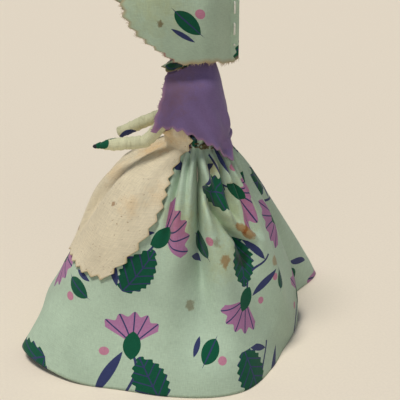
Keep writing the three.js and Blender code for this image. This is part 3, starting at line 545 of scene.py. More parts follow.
def skirt_radius(angle, z):
    """The skirt's main shape: a bell with the hem's folds, bulges, hollows, drawn folds and ripples."""
    fall, turn, side = fall_at(angle, z), angle % 360, from_front(angle)
    bell = fall ** (BELL_POWER - FRONT_POWER * np.cos(np.radians(angle)))
    full = 1 - (1 - fall) ** SWELL_POWER
    bell = bell + (full - bell) * between(turn, *SWELLING)
    hem = HEM_RADIUS + FOLD_DEPTH * hem_curve(turn)
    radius = SKIRT_WAIST + (hem - SKIRT_WAIST) * bell
    for out, arc, drop in PATCHES:
        radius = radius + out * between(side if arc[0] < 0 else turn, *arc) * between(fall, *drop)
    for out, middle, width, drop in RIDGES:
        radius = radius + out * ridge(from_front(angle - middle), 0, width) * between(fall, *drop)
    slant = SLANT_TOP + SLANT_BEND * np.minimum(fall, SLANT_END) ** 2
    for out, off in ((SLANT_STAND, NARROW), (-SLANT_DEPTH, -NARROW)):
        radius = radius + out * ridge(turn, slant + off, NARROW) * between(fall, *UPPER_DROP)
    for top, low, depth, end in DRAWN_FOLDS:
        shown = between(fall, 0.02, 0.14, end - 0.3, end)
        radius = radius - depth * shown * ridge(turn, top + (low - top) * fall, NARROW)
    a = np.radians(turn)
    ripple = 1.3 * np.cos(11 * a + 1.2 * np.sin(3 * a + 2) + 0.6 * np.sin(2 * a))
    frill = 1.2 * ease(z, BAND_TOP, FRILL_TOP)
    return radius + ripple * between(fall, 0.05, 0.25, 0.45, 0.92) + frill


# Half the arc that the apron covers, by height
APRON_TOP, APRON_BOTTOM, APRON_WAIST_HALF = BAND_TOP + 3.6, BAND_BOTTOM - 47, 72
apron_half_angle = through([
    (APRON_TOP, APRON_WAIST_HALF),
    (BAND_TOP, APRON_WAIST_HALF),
    (BAND_BOTTOM - 4.7, 57.2),
    (BAND_BOTTOM - 19.7, 52.8),
    (BAND_BOTTOM - 32.9, 45.7),
    (APRON_BOTTOM, 35),
])


def gathers(angle, z):
    """Small gathers at the band, deepest on the doll's left and flat under the apron."""
    fall, turn = fall_at(angle, z), np.radians(angle)
    wave = np.cos(27 * turn + 1.4 * np.sin(5 * turn + 0.7) + 0.9 * np.sin(2 * turn))
    past_apron = np.abs(from_front(angle)) - apron_half_angle(np.maximum(z, APRON_BOTTOM))
    wave = wave * np.where(z > BAND_BOTTOM, 1, ease(past_apron, -9, 1))
    deeper = 1 + 1.9 * ridge(angle % 360, 95, 30)
    depth = 0.25 + 0.5 * ease(z, BAND_TOP, FRILL_TOP) + 0.8 * ease(fall, 0, 0.06)
    return deeper * wave * depth * (1 - ease(fall, 0.14, 0.56))


# Sharp, shallow creases of cloth that was folded away for years: turn, pitch and height, and how each sways
KINKS = ((20, 23, 0.5, 1.3), (75, 31, 0.55, 2.1), (130, 27, 0.45, 0.7), (160, 19, 0.35, 2.9))


def crumple(across, down):
    depth = 0
    for turn, pitch, height, sway in KINKS:
        lean = math.radians(turn)
        line = (across * math.cos(lean) + down * math.sin(lean)) / pitch
        line = line + 0.35 * np.sin(across / 17 + sway) + 0.3 * np.sin(down / 13 + 2 * sway)
        shown = ease(np.sin(across / 29 + 3 * sway) * np.sin(down / 23 + sway), 0.05, 0.7)
        depth = depth + height * shown * (0.6 - np.abs(np.sin(np.pi * line)))
    return depth


def creases(angle, z):
    across = np.radians((angle + 180) % 360) * 45
    return crumple(across, z) * between(fall_at(angle, z), 0.06, 0.2, 0.85, 1)


# The column that gives the skirt's length, and the angle opposite the print's seam
SIDE_COLUMN, PRINT_MIDDLE = 120, 84
# The hem is cut clean, so its edge counts as this far from one that frays
CLEAN_HEM = 1.7


def build_skirt():
    columns = 504
    angles = ring(columns)
    falls = np.concatenate([np.linspace(0, 0.12, 16), np.linspace(0.12, 1, 76)[1:]])
    rows = [np.full(columns, z) for z in (FRILL_TOP, BAND_TOP + 2, BAND_TOP + 1, BAND_TOP, WAIST_Z)]
    rows += [BAND_BOTTOM + (hem_height(angles) - BAND_BOTTOM) * fall for fall in falls]
    z = np.array(rows)
    grid = np.broadcast_to(angles, z.shape)
    radius = skirt_radius(grid, z) + gathers(grid, z) + creases(grid, z)
    points = around(grid, radius, z)
    # The cut is flared, so the print spreads less than the cloth does. The seam is on the doll's right.
    drop = run_length(points[:, SIDE_COLUMN])[:, None]
    spread = np.radians(np.append(angles, 360.0) - PRINT_MIDDLE)
    spread = np.where(spread > np.pi, spread - FULL_TURN, spread)
    width = 0.5 * (radius.mean(axis=1) + HEM_RADIUS)
    to_hem = np.broadcast_to(drop[-1] - drop, z.shape)
    uv = joined(spread * width[:, None], -drop)
    piece = cloth_piece("skirt_cloth", points, uv, True, to_hem + CLEAN_HEM)
    dress(piece, PRINT, "figure", "print_cotton", "skirt")


PETTICOAT_WAIST, PETTICOAT_HEM, PETTICOAT_LOW = 9.9, 38.6, 3.3


def build_petticoat():
    angles = ring(240)
    turns = np.radians(angles)
    levels = np.linspace(0, 1, 40)
    fall = np.concatenate([[0, 0], levels])[:, None]
    z = np.concatenate([[BAND_TOP, WAIST_Z], BAND_BOTTOM + (PETTICOAT_LOW - BAND_BOTTOM) * levels])[:, None]
    folds = 0.6 * np.cos(9 * turns + np.sin(2 * turns)) * ease(fall, 0.3, 0.8)
    radius = PETTICOAT_WAIST + (PETTICOAT_HEM - PETTICOAT_WAIST) * fall**1.5 + folds
    points = around(angles, radius, z)
    drop = run_length(points[:, 0])
    uv = joined(np.radians(np.append(angles, 360)) * 30, -drop[:, None])
    piece = cloth_piece("petticoat_cloth", points, uv, True)
    dress(piece, MUSLIN, "figure", "white_muslin", "petticoat")


# Apron: calico with three pinked edges, gathered into a frill above the tie. The frill lies low under the
# right arm and stands up under the left: share of the half width, and of the frill's height
frill_share = through([
    (-1, 0.6), (-0.6, 0.4), (-0.3, 0.25), (0, 0.4), (0.2, 0.5), (0.35, 0.95), (0.5, 1.4), (0.65, 1.7),
    (0.8, 1.6), (0.9, 1.35), (1, 0.9),
])
# Half its width and its length as flat cloth, and the column that gives its drop
APRON_FLAT_HALF, APRON_FLAT_LENGTH, APRON_COLUMN = 29, 56, 130


def build_apron():
    share = np.linspace(-1, 1, 161)
    level = np.concatenate([np.linspace(0, 0.12, 22), np.linspace(0.12, 1, 117)[1:]])
    plain_z = APRON_TOP + (APRON_BOTTOM - APRON_TOP) * level
    covered = apron_half_angle(plain_z)
    half_width = np.radians(covered) * skirt_radius(0.7 * covered, plain_z)
    nick = np.degrees(teeth(run_length(joined(plain_z, half_width))) / np.maximum(half_width, 14))
    z = plain_z[:, None] + teeth(share * half_width[-1] + 0.4) * ease(level, 0.8, 1)[:, None]
    z = np.where(z > BAND_TOP, BAND_TOP + (z - BAND_TOP) * frill_share(share), z)
    half_angle = (covered + np.where(plain_z > BAND_BOTTOM, 4, 0))[:, None]
    at_edge = np.sign(share) * ease(np.abs(share), 0.86, 1)
    angle = share * half_angle - nick[:, None] * at_edge
    turn = np.radians(angle)
    # The frill leans out and ruffles, and the gathers run out below the band
    above, below = ease(z, BAND_TOP, APRON_TOP), BAND_BOTTOM - z
    lean = 1.6 * above * (1 - share**4)
    ruffle = np.cos(17 * turn * APRON_WAIST_HALF / np.maximum(half_angle, 40) + 1.5 * np.sin(4 * turn + 1))
    ruffle *= 0.15 + 0.75 * above + 0.7 * between(below, 0, 5, 10, 34)
    off_skirt = 0.8 + 0.7 * ease(below, 0, 5) + 0.5 * ease(z, 80, 92)
    radius = skirt_radius(angle, z) + 0.7 * creases(angle, z) + off_skirt + lean + ruffle
    points = around(angle, radius, z)
    uv = joined(share * APRON_FLAT_HALF, -run_length(points[:, APRON_COLUMN])[:, None])
    to_side, to_hem = (1 - np.abs(share)) * half_width[:, None], (1 - level)[:, None] * APRON_FLAT_LENGTH
    piece = cloth_piece("apron_cloth", points, uv, False, np.minimum(to_side, to_hem))
    dress(piece, CREAM, "figure", "cream_muslin", "apron")


# Shawl: round the back and forward over both arms, open in front, every edge pinked. By height: half its
# width, how far it stands off behind, and share of a front panel's reach past the neck's
SHAWL_TOP, SHAWL_FRONT, SHAWL_TAIL = 121.0, 95.5, 80.2
shawl_half = through([(SHAWL_TOP, 7.2), (117.4, 10.76), (113.8, 14.49), (110.2, 15.68), (SHAWL_FRONT, 16.88)])
shawl_back = through([(SHAWL_TOP, 7.2), (112, 9.98), (97, 12.83), (87, 13.82)])
shawl_reach = through([(SHAWL_TOP, 0), (117.4, 0.5), (112, 0.64), (SHAWL_FRONT, 1)])
NECK_REACH, LEFT_REACH, RIGHT_REACH = 6.12, 14.88, 4.38
# Its lower edge: share of the way from a front corner to the middle of the back, and of the drop to its tail
shawl_edge = through([
    (0, 0), (0.11, -0.1), (0.26, 0), (0.44, 0.32), (0.62, 0.64), (0.75, 1), (0.85, 0.72), (1, 0.58),
])
# Share of its width in each front panel, length of its lower edge, and how closely it lies on the skirt
PANEL, SHAWL_EDGE_LENGTH, LIE = 0.22, 118, 12


def build_shawl():
    columns, rows = 221, 81
    u = np.linspace(0, 1, columns)
    v = np.linspace(0, 1, rows)[:, None]
    to_corner = np.minimum(u, 1 - u)
    side = np.where(u < 0.5, 1, -1)
    in_panel = (u < PANEL) | (u > 1 - PANEL)
    forward = np.clip(1 - to_corner / PANEL, 0, 1)
    bend = np.radians(np.clip(180 * (u - PANEL) / (1 - 2 * PANEL), 0, 180))
    walk = np.linspace(0, SHAWL_EDGE_LENGTH, columns)
    lower = SHAWL_FRONT + (SHAWL_TAIL - SHAWL_FRONT) * shawl_edge(2 * to_corner)
    upper = SHAWL_TOP - 3.6 * ease(forward, 0.1, 1)
    z = upper + (lower - upper + teeth(walk) * ease(v, 0.85, 1)) * v
    half = shawl_half(np.maximum(z, SHAWL_FRONT))
    reach = NECK_REACH + np.where(side > 0, LEFT_REACH, RIGHT_REACH) * shawl_reach(z)
    nick = teeth(SHAWL_TOP - z, 0.7) / np.maximum(reach, 6)
    panel_y = -forward * reach * (1 - nick * forward**6)
    # Below the band the back lies on the skirt
    arc_x, arc_y = half * np.cos(bend), shawl_back(z) * np.sin(bend)
    angle = np.degrees(np.arctan2(arc_x, -arc_y))
    flare = 1.5 * ease(BAND_TOP - z, 0, BAND_TOP - SHAWL_TAIL)
    bed = np.where(z < BAND_TOP, skirt_radius(angle, z) + 2.2 + flare, 0)
    reach_arc = np.hypot(arc_x, arc_y)
    pushed = (reach_arc**LIE + bed**LIE) ** (1 / LIE) / reach_arc
    x = np.where(in_panel, side * half, arc_x * pushed)
    y = np.where(in_panel, panel_y, arc_y * pushed)
    # Soft folds hang from the shoulders, and slant forward on the panels
    sway = 0.4 * np.sin(walk * 0.42 + 0.6 * np.sin(walk * 0.13))
    sway = sway + 0.5 * np.sin((walk - 0.9 * (SHAWL_TOP - z)) * 0.5)
    sway = (0.3 + sway) * ease(v, 0.25, 0.9) + 0.7 * crumple(1.4 * walk, 1.4 * z) * ease(v, 0.1, 0.4)
    x = x + sway * np.where(in_panel, side, np.cos(bend))
    y = y + sway * np.where(in_panel, 0, np.sin(bend))
    points = joined(x, y, z)
    uv = joined(walk, -run_length(points[:, columns // 2])[:, None])
    to_front = 0.8 * np.minimum(walk, walk[-1] - walk)
    piece = cloth_piece("shawl_cloth", points, uv, False, np.minimum(to_front, (1 - v) * (SHAWL_TOP - lower)))
    for word, line in (("left", points[:, 0]), ("right", points[:, -1])):
        frayed(f"shawl_{word}_fray", line, (0, -1, 0), FADED_YARN, "figure", "lilac_cotton", 0.8)
    dress(piece, LILAC, "figure", "lilac_cotton", "shawl")


# Bodice over the wadded torso: the wadding's radius by height
BODICE_LOW, BODICE_TOP, BODICE_LAYER = 83, 119, 0.75
wadding = through([(79.2, 6.4), (87, 7.6), (99.5, 6.8), (112, 6.8), (BODICE_TOP, 4)])


def bodice_radius(z):
    return wadding(z) + BODICE_LAYER


def build_bodice():
    z = np.linspace(BODICE_LOW, BODICE_TOP, 50)[:, None]
    angles = ring(90)
    tucks = 0.15 * np.cos(13 * np.radians(angles)) * ease(z, 104, BODICE_TOP)
    points = around(angles, bodice_radius(z) + tucks, z)
    uv = joined(np.radians(np.append(angles, 360)) * 8 + 12, z)
    piece = cloth_piece("bodice_cloth", points, uv, True)
    dress(piece, PRINT, "figure", "print_cotton", "bodice", "torso_wadding")


# The neck frill: its radius at the neck, at the sides and in front, and its height
FRILL_START, FRILL_SIDE, FRILL_FRONT, FRILL_Z = 5.1, 8.4, 13.6, 118.9
# Where on the printed cloth the frill and the bonnet were cut
FRILL_CUT, BONNET_CUT = (139, -137), (185, -477)


def build_neck_frill():
    """The top of the bodice's cloth, drawn in by the neck tie and standing out in front."""
    angles = np.linspace(-105, 105, 141)
    out = np.linspace(0, 1, 24)[:, None]
    turn = np.radians(angles)
    edge = 1 / np.hypot(np.sin(turn) / FRILL_SIDE, np.cos(turn) / FRILL_FRONT)
    walk = run_length(around(angles, edge, np.zeros(len(angles))))
    radius = FRILL_START + (edge - teeth(walk) * ease(out, 0.75, 1) - FRILL_START) * out
    ruffle = 0.5 * np.cos(7 * turn + 0.8 * np.sin(3 * turn)) * out
    z = FRILL_Z + 0.9 * out - 3.2 * out**2 * np.clip(np.cos(turn), 0, 1) ** 2 + ruffle
    uv = joined(FRILL_CUT[0] + walk - 0.55 * walk[-1], FRILL_CUT[1] + 8 * out)
    to_edge = np.broadcast_to((1 - out) * 7, radius.shape)
    piece = cloth_piece("neck_frill", around(angles, radius, z), uv, False, to_edge, 0.4)
    dress(piece, PRINT, "figure", "print_cotton")


# Half the thickness of each thread
WAIST_THREAD, NECK_THREAD, SEAM_THREAD = 0.28, 0.32, 0.42
KNOT_ANGLE, KNOT_RADIUS, TIE_RADIUS = 97, 12, 11.45


def build_ties():
    """Thread wound round the waist, from a knot on the doll's left, and round the neck."""
    loops = np.linspace(0, 4, 80)
    spin = FULL_TURN * loops
    angle = KNOT_ANGLE + 4 * np.cos(spin) + 3 * (loops - 2)
    knot = around(angle, KNOT_RADIUS + 0.4 * np.sin(0.5 * spin), WAIST_Z + 0.9 * np.sin(spin))
    turns = np.linspace(0.02, 2.5, 300)
    angle = KNOT_ANGLE + 3 + 360 * turns
    sway = 0.4 * np.sin(2.3 * np.radians(angle)) + 0.25 * np.sin(5.1 * np.radians(angle))
    path = np.concatenate([knot, around(angle, TIE_RADIUS, WAIST_Z + 0.9 * (turns - 1.25) + sway)])
    waist = tube_piece("waist_tie", path, WAIST_THREAD)
    dress(waist, DARK_THREAD, "figure", "dark_thread", "waist_thread")

    turns = np.linspace(0, 2, 160)
    z = BODICE_TOP - 0.6 - 1.1 * turns
    path = around(360 * turns, bodice_radius(z - 0.3) + 0.5, z)
    neck = tube_piece("neck_tie", path, NECK_THREAD)
    dress(neck, DARK_THREAD, "figure", "dark_thread", "neck_thread")


# Head: a stuffed ball of muslin, drawn together underneath, that leans forward from the nodding joint
NOD_Z, HEAD_R, HEAD_LEAN = pivots["head_nod"][2], 12.3, math.radians(11)
HEAD_MIDDLE, HEAD_OPENING = 0.7 + HEAD_R, 2.4


def build_head():
    columns, rows = 96, 60
    turn = np.linspace(math.asin(HEAD_OPENING / HEAD_R), np.pi, rows)[:, None]
    angles = np.radians(ring(columns))
    drawn = 1 - 0.02 * (1 + np.cos(19 * angles)) * (1 - ease(turn, 0.2, 0.9))
    radius = (HEAD_R - 0.2) * drawn
    x, y = radius * np.sin(turn) * np.cos(angles), radius * np.sin(turn) * np.sin(angles)
    up = HEAD_MIDDLE - radius * np.cos(turn)
    lean_y = y * math.cos(HEAD_LEAN) - up * math.sin(HEAD_LEAN)
    lean_z = y * math.sin(HEAD_LEAN) + up * math.cos(HEAD_LEAN) + NOD_Z
    uv = joined(np.append(angles, FULL_TURN) * HEAD_R, turn * HEAD_R)
    piece = cloth_piece("head_cloth", joined(x, lean_y, lean_z), uv, True)
    dress(piece, MUSLIN, "head", "white_muslin", "head_cover", "head_stuffing")


# Bonnet: one cloth folded over the crown, sewn up the back in a flat fin, pinked round the brim and the neck
HEAD_Z = NOD_Z + HEAD_MIDDLE * math.cos(HEAD_LEAN)
BONNET_BOTTOM, BONNET_TOP = HEAD_Z - HEAD_R - 2.6, HEAD_Z + HEAD_R + 9.5
BONNET_BACK, BRIM, CHIN, FIN = 17.5, 30.5, 9.0, 3.5
BONNET_HALF, FIN_HALF = 1.06 * (HEAD_R + 0.75), 0.75
FIN_FRONT, FIN_SHARE = BONNET_BACK - FIN, 0.1
brim_edge = through([
    (share, CHIN + (BRIM - CHIN) * reach)
    for share, reach in ((0, 0), (0.12, 0.27), (0.34, 0.73), (0.58, 1), (0.8, 0.98), (1, 0.86))
])
# The brim's teeth: depth and pitch
BRIM_TEETH = (1.7, 4.6)
# Stitches of the back seam: how many, how far apart and how far the lowest is above the neck edge
STITCHES, STITCH_STEP, STITCH_START = 7, 4.3, 3


def bonnet_half_width(y):
    opened = np.sin(np.pi / 2 * np.clip((FIN_FRONT - y) / FIN_FRONT, 0, 1))
    spread = 1 + 0.12 * ease(-y, 0, BRIM)
    return FIN_HALF + (BONNET_HALF * spread - FIN_HALF) * opened


def hood(turn):
    """The bonnet's outline from in front, as shares of its half width and its height."""
    across = np.sign(np.cos(turn)) * np.sqrt(np.abs(np.cos(turn)))
    return across, np.sin(turn) ** 0.8


def build_bonnet():
    columns, rows = 261, 91
    tall = BONNET_TOP - BONNET_BOTTOM
    # Columns are evenly spaced along the brim
    fine = np.linspace(0, np.pi, 4001)
    across, rise = hood(fine)
    brim = run_length(joined(BONNET_HALF * across, -brim_edge(rise), tall * rise))
    along = np.linspace(0, brim[-1], columns)
    turn = np.interp(along, brim, fine)
    across, rise = hood(turn)
    walk = run_length(joined(BONNET_HALF * across, tall * rise))
    v = np.linspace(0, 1, rows)[:, None]
    front = teeth(along, *BRIM_TEETH) * ease(v, 0.85, 1) - brim_edge(rise)
    in_fin = BONNET_BACK - FIN * v / FIN_SHARE
    on_head = FIN_FRONT + (front - FIN_FRONT) * (v - FIN_SHARE) / (1 - FIN_SHARE)
    y = np.where(v < FIN_SHARE, in_fin, on_head)
    crown = BONNET_TOP - 3 * ease(y, 0.3 * BONNET_BACK, BONNET_BACK)
    bottom = BONNET_BOTTOM - 2 * ease(y, 2, 11) - 2.4 * ease(y, 7, 14) + ease(y, 15, BONNET_BACK)
    # The neck edge is pinked too, and the cloth sags a little between its folds
    z = bottom + (crown - bottom) * rise + teeth(BONNET_BACK - y, 0.6) * (1 - ease(rise, 0, 0.1))
    dent = 0.35 * np.sin(0.33 * y + 2.5 * turn) * ease(-y, -8, 6)
    x = (bonnet_half_width(y) + np.abs(dent)) * across
    points = joined(x, y, z)
    uv = joined(BONNET_CUT[0] - walk, BONNET_CUT[1] - run_length(points[:, columns // 4])[:, None])
    edge = np.minimum((1 - v) * 30, 0.55 * np.minimum(walk, walk[-1] - walk))
    piece = cloth_piece("bonnet_cloth", points, uv, False, edge)
    dress(piece, PRINT, "head", "print_cotton", "bonnet")
    down, ahead = (0, 0, -1), (0, -1, 0)
    edges = (("left", points[:, 0], down), ("right", points[:, -1], down), ("brim", points[-1], ahead))
    for word, line, off in edges:
        frayed(f"bonnet_{word}_fray", line, off, LOOSE_YARN, "head", "print_cotton", 1.5)

    # Running stitch through both layers of the back seam
    seam_y, out = BONNET_BACK - 0.55 * FIN, FIN_HALF + 0.7
    corners = []
    for k in range(STITCHES):
        sign, height = (1 if k % 2 else -1), BONNET_BOTTOM + STITCH_START + STITCH_STEP * k
        corners += [(-sign * out, seam_y, height), (sign * out, seam_y, height)]
    steps = np.linspace(0, len(corners) - 1, 14 * len(corners))
    path = smoothed(sampled(steps, np.arange(len(corners)), np.array(corners, float)), passes=3)
    thread = tube_piece("bonnet_stitches", path, SEAM_THREAD)
    dress(thread, WHITE_THREAD, "head", "white_thread", "bonnet_seam_thread")


# Arms and legs: strips wound in a spiral on wire
def wound(name, path, radius, cut_at, pitch=5.4, columns=36):
    """A limb along a line of points, with the overlapping turns of its strip."""
    length = run_length(path)[:, None]
    turns = np.linspace(0, 1, columns, endpoint=False)
    uneven = 0.22 * np.sin(0.61 * length + cut_at) + 0.1 * np.sin(1.7 * length + 2 * cut_at)
    phase = (length / pitch + uneven + turns) % 1
    step = 0.3 * (1 - phase) * ease(phase, 0, 0.08) - 0.12
    crease = 0.07 * np.sin(2.3 * length + 2 * FULL_TURN * turns)
    crease = crease + 0.05 * np.sin(5.1 * length - 3 * FULL_TURN * turns)
    rim = np.minimum(phase, 1 - phase) * pitch * 1.6 + 0.35
    return tube_piece(name, path, np.reshape(radius, (-1, 1)) + step + crease, columns, rim, cut_at)


def rounded_path(corners, spacing=0.4, passes=26):
    corners = np.array(corners, float)
    length = run_length(corners)
    steps = np.linspace(0, length[-1], int(length[-1] / spacing))
    return smoothed(sampled(steps, length, corners), passes)


def rounded_end(share, least=0.05):
    """Share of a limb's radius from its tip, at 0, to where it is full, at 1."""
    return np.sqrt(np.clip(1 - (1 - np.clip(share, 0, 1)) ** 2, least, 1))


def nearest(points, place):
    return int(np.argmin(np.linalg.norm(points - place, axis=1)))


# Half the thickness of an arm, and how many points from a joint the points before and after it are picked
ARM_R, BEND_REACH = 2.55, 7


def build_arm(name, angle, below, hand_length, blunt):
    """An arm in two windings that meet halfway along the forearm, each over one joint. Its hand
    points at an angle and so many degrees below level."""
    shoulder, elbow, wrist = (pivots[f"{name}_{joint}"] for joint in ("shoulder", "elbow", "wrist"))
    dip = math.radians(below)
    tip = wrist + around(angle, math.cos(dip), -math.sin(dip)) * hand_length
    path = rounded_path([shoulder, elbow, wrist, tip])
    length = run_length(path)
    left = length[-1] - length
    if blunt:
        taper, end = 0.25 * ease(-left, -14, 0), 1.0
    else:
        taper, end = 1.5 * ease(-left, -9, -1), 2.4
    radius = (ARM_R - taper) * rounded_end(left / end, 0.02) * rounded_end(length / 2.5)
    cut = nearest(path, (elbow + wrist) / 2)
    upper, fore, hand = (f"{name}_{body}" for body in ("upper_arm", "forearm", "hand"))
    parts = [
        ("upper", slice(0, cut + 1), (upper, fore), elbow, (f"{upper}_wrap", f"{fore}_wrap"), PLAIN_CUT),
        ("lower", slice(cut - 1, None), (fore, hand), wrist, (f"{hand}_wrap",), HAND_CUTS[name]),
    ]
    for word, span, bodies, joint, nodes, cut_at in parts:
        line = path[span]
        piece = wound(f"{name}_{word}_winding", line, radius[span], cut_at)
        dress(piece, STRIP, None, "strip_cotton", *nodes)
        bend = nearest(line, joint)
        before, after = line[max(bend - BEND_REACH, 0)], line[min(bend + BEND_REACH, len(line) - 1)]
        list(bodies)
        tuple(in_metres(before))
        tuple(in_metres(after))
        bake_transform(piece)


# Half the thickness of a leg, how much it thins to the ankle, and half that of a foot
LEG_R, LEG_TAPER, FOOT_R = 3.4, 1.1, 2.35
ANKLE_OUT, ANKLE_Z = 7.6, 5.4


def build_leg(name, side):
    hip = pivots[f"{name}_hip"]
    ankle = np.array([side * ANKLE_OUT, 0, ANKLE_Z])
    path = rounded_path([hip, ankle], 0.6)
    length = run_length(path)
    left = length[-1] - length
    radius = (LEG_R - LEG_TAPER * ease(length, 8, length[-1])) * rounded_end(np.minimum(length, left + 1) / 3)
    leg = wound(f"{name}_leg_winding", path[1:], radius[1:], LEG_CUT)
    dress(leg, STRIP, f"{name}_leg", "strip_cotton", f"{name}_leg_wrap")
    heel, toe = ankle + [0, 2.6, -2.6], ankle + [0, -9.6, -2.9]
    path = rounded_path([heel, toe])
    length = run_length(path)
    radius = FOOT_R * rounded_end(np.minimum(length, length[-1] - length) / 3.2)
    foot = wound(f"{name}_foot_winding", path, radius, PLAIN_CUT, 4.0)
    dress(foot, STRIP, f"{name}_leg", "strip_cotton", f"{name}_foot")


NECK_R = 3.0


def build_neck():
    base = pivots["head_turn"][2]
    path = rounded_path([(0, 0, base + 0.4), (0, 0, NOD_Z - 0.4)], 0.3)
    piece = wound("neck_winding", path, NECK_R, PLAIN_CUT, 2.6)
    dress(piece, STRIP, "neck", "strip_cotton", "neck_wrap")


def on_skirt(angle, height, out=0.0):
    """A place on the skirt, or so many millimetres out from it."""
    return tuple(around(angle, skirt_radius(angle, height) + out, height))


# Old stains, patches of painted warm light and painted shade, and faded places: a place, size in millimetres,
# colour, strength and how much of it is soft edge
BROWN_STAIN_AND_SHADE, RUST, AMBER, WARM_LIGHT_AND_YELLOWING = "#a87f5c", "#d68a4c", "#f3cf9c", "#ffeecb"
# The pale yellow patch on the bonnet's upper front is painted warm light; those on the skirt are partly
# yellowing and partly painted warm light on its lit folds
PRINT_STAINS_AND_LIGHT = [
    (on_skirt(118, 64), 17, WARM_LIGHT_AND_YELLOWING, 0.55, 0.9), (on_skirt(67.5, 62), 12, WARM_LIGHT_AND_YELLOWING, 0.6, 0.9),
    (on_skirt(102, 46), 11, WARM_LIGHT_AND_YELLOWING, 0.5, 0.9), ((13.0, -18.0, 148.0), 17, WARM_LIGHT_AND_YELLOWING, 0.5, 0.9),
    (on_skirt(107, 79), 5, AMBER, 0.6, 0.9), (on_skirt(124.5, 71), 2.6, BROWN_STAIN_AND_SHADE, 0.5, 0.5),
    (on_skirt(119, 56.5), 3, RUST, 0.8, 0.4), (on_skirt(123, 53.8), 3.4, RUST, 0.8, 0.4),
    (on_skirt(96.5, 52.5), 2.2, BROWN_STAIN_AND_SHADE, 0.5, 0.4), (on_skirt(117, 43), 4.6, RUST, 0.7, 0.5),
    (on_skirt(101, 45.5), 3, RUST, 0.7, 0.4), (on_skirt(140, 39.5), 2.4, RUST, 0.6, 0.4),
    (on_skirt(77, 30), 2.6, BROWN_STAIN_AND_SHADE, 0.6, 0.4), ((14.5, -16.0, 139.0), 1.5, BROWN_STAIN_AND_SHADE, 0.8, 0.4),
]
APRON_STAINS_AND_SHADE = [
    (on_skirt(0, 83, 2), 9, AMBER, 0.5, 0.9), (on_skirt(28, 92, 3), 8, AMBER, 0.4, 0.9),
    # The faint brown patch on the frill at 55 degrees is painted shade of the frill's folds; the other brown
    # spots are stains
    (on_skirt(55, 92, 3), 7, BROWN_STAIN_AND_SHADE, 0.15, 0.9), (on_skirt(2, 74, 1.5), 8, AMBER, 0.3, 0.9),
    (on_skirt(33, 67, 1.3), 6, AMBER, 0.3, 0.9), (on_skirt(50, 70, 1.3), 7, AMBER, 0.25, 0.9),
    (on_skirt(22, 66, 1.5), 1.2, BROWN_STAIN_AND_SHADE, 0.7, 0.4), (on_skirt(-2, 48, 1.5), 1.6, BROWN_STAIN_AND_SHADE, 0.5, 0.4),
]
SHAWL_FADES = [
    ((14.0, -11.0, 114.0), 12, "#7a5f72", 0.75, 0.9), ((16.0, -16.0, 105.0), 9, "#775c78", 0.6, 0.9),
    ((16.9, -20.0, 97.0), 5, "#95687f", 0.75, 0.8), ((12.0, 12.0, 90.0), 7, "#7b6280", 0.5, 0.9),
]
# The skirt, bodice and bonnet: quilting cotton, roller-printed on a plain weave and washed soft. It is matt
# and slightly hairy, with flat inks and cut edges that fray to bare yarn.
PRINT = cloth_material("print_cotton", "#b0c3ab", 0.32, "#b0956e", printed, PRINT_STAINS_AND_LIGHT)
# The limbs: the same cotton's pale ground torn into strips and wound on wire, grimed by handling along each
# torn edge.
STRIP = cloth_material("strip_cotton", "#cbc9a6", 0.32, "#a3a07c", scraps, shade=0.2)
# The shawl: piece-dyed cotton lawn, thin and close, its dye uneven and faded pink at the cut edges.
LILAC = cloth_material(
    "lilac_cotton", "#7c6792", 0.33, "#a57f97", fades=SHAWL_FADES, shade=0.14, fray_width=2.4
)
# The apron: unbleached calico, a coarse plain weave with thick places in the yarn and flecks of seed husk.
CREAM = cloth_material("cream_muslin", "#dccfb2", 0.5, "#c9b488", husks, APRON_STAINS_AND_SHADE, shade=0.1)
# The head and petticoat: bleached muslin, an open weave gone ivory with age.
MUSLIN = cloth_material("white_muslin", "#e2d8c4", 0.42, "#cdbd9c")
# Ties and stitches: two-ply sewing cotton, matt and slightly uneven.
DARK_THREAD = plain_material("dark_thread", "#5f5638", 0.85)
WHITE_THREAD = plain_material("white_thread", "#ece8dc", 0.85)
# Yarn ends: single cotton yarns pulled loose at the cut edges, hairy and matt.
LOOSE_YARN = plain_material("loose_yarn", "#c3ad8c", 0.95)
FADED_YARN = plain_material("faded_yarn", "#9d7c93", 0.95)
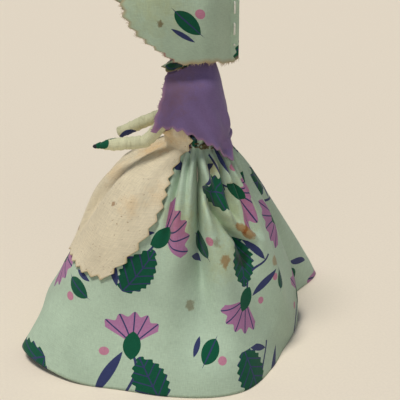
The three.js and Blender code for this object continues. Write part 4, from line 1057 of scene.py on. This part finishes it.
# The armature: soft drawn steel wire, grey and dull.
WIRE = plain_material("steel_wire", "#8a8780", 0.4, 1.0)

build_petticoat()
build_skirt()
build_apron()
build_bodice()
build_neck_frill()
build_shawl()
build_ties()
build_neck()
build_head()
build_bonnet()
build_arm("left", -2, 3, 8.0, False)
build_arm("right", -9, 25, 9.5, True)
build_leg("left", 1)
build_leg("right", -1)
for name, node in frame["nodes"].items():
    if name.endswith("_wire"):
        node.data.materials.clear()
        node.data.materials.append(WIRE)

# Stage: a pale floor just under the hem, a key lamp almost overhead and a little to the doll's front, a broad
# weak fill from the camera's side, and an even sky
FLOOR_RADIUS, FLOOR_DROP = 9, 0.0002
# Each lamp's place from the doll, how wide it looks in radians, strength and colour
LAMPS = (
    ("key", (0.08, -0.26, 0.93), 0.3, 2.2, (1, 0.97, 0.92)),
    ("fill", (0.95, -0.05, 0.4), 1.2, 0.5, (0.93, 0.97, 1)),
)
where = (0, 0, -FLOOR_DROP)
bpy.ops.mesh.primitive_circle_add(vertices=96, radius=FLOOR_RADIUS, fill_type="NGON", location=where)
floor = bpy.context.object
floor.name = "floor"
floor.data.materials.append(plain_material("floor", "#f1e4d0", 0.9, uneven=0.02))
for name, place, wide, strength, colour in LAMPS:
    light = bpy.data.objects.new(name, bpy.data.lights.new(name, "SUN"))
    light.data.angle, light.data.energy, light.data.color = wide, strength, colour
    light.location = place
    light.rotation_euler = (-Vector(place)).to_track_quat("-Z", "Y").to_euler()
    scene.collection.objects.link(light)
# The sky lights the doll in cool grey, and is pale where the camera sees it
scene.world = bpy.data.worlds.new("sky")
add = shader(scene.world)
rays = add("LightPath").node.outputs
seen = rays["Is Camera Ray"]
for ray in ("Is Glossy Ray", "Is Transmission Ray"):
    seen = add("Math.MAXIMUM", (seen, rays[ray]))
sky = add("Background", {"Color": linear("#93a2b6"), "Strength": 0.37})
pale = add("Background", {"Color": linear("#ded3c1"), "Strength": 1.0})
add("OutputWorld", [add("MixShader", (seen, sky, pale))])

scene.view_settings.view_transform = "Standard"
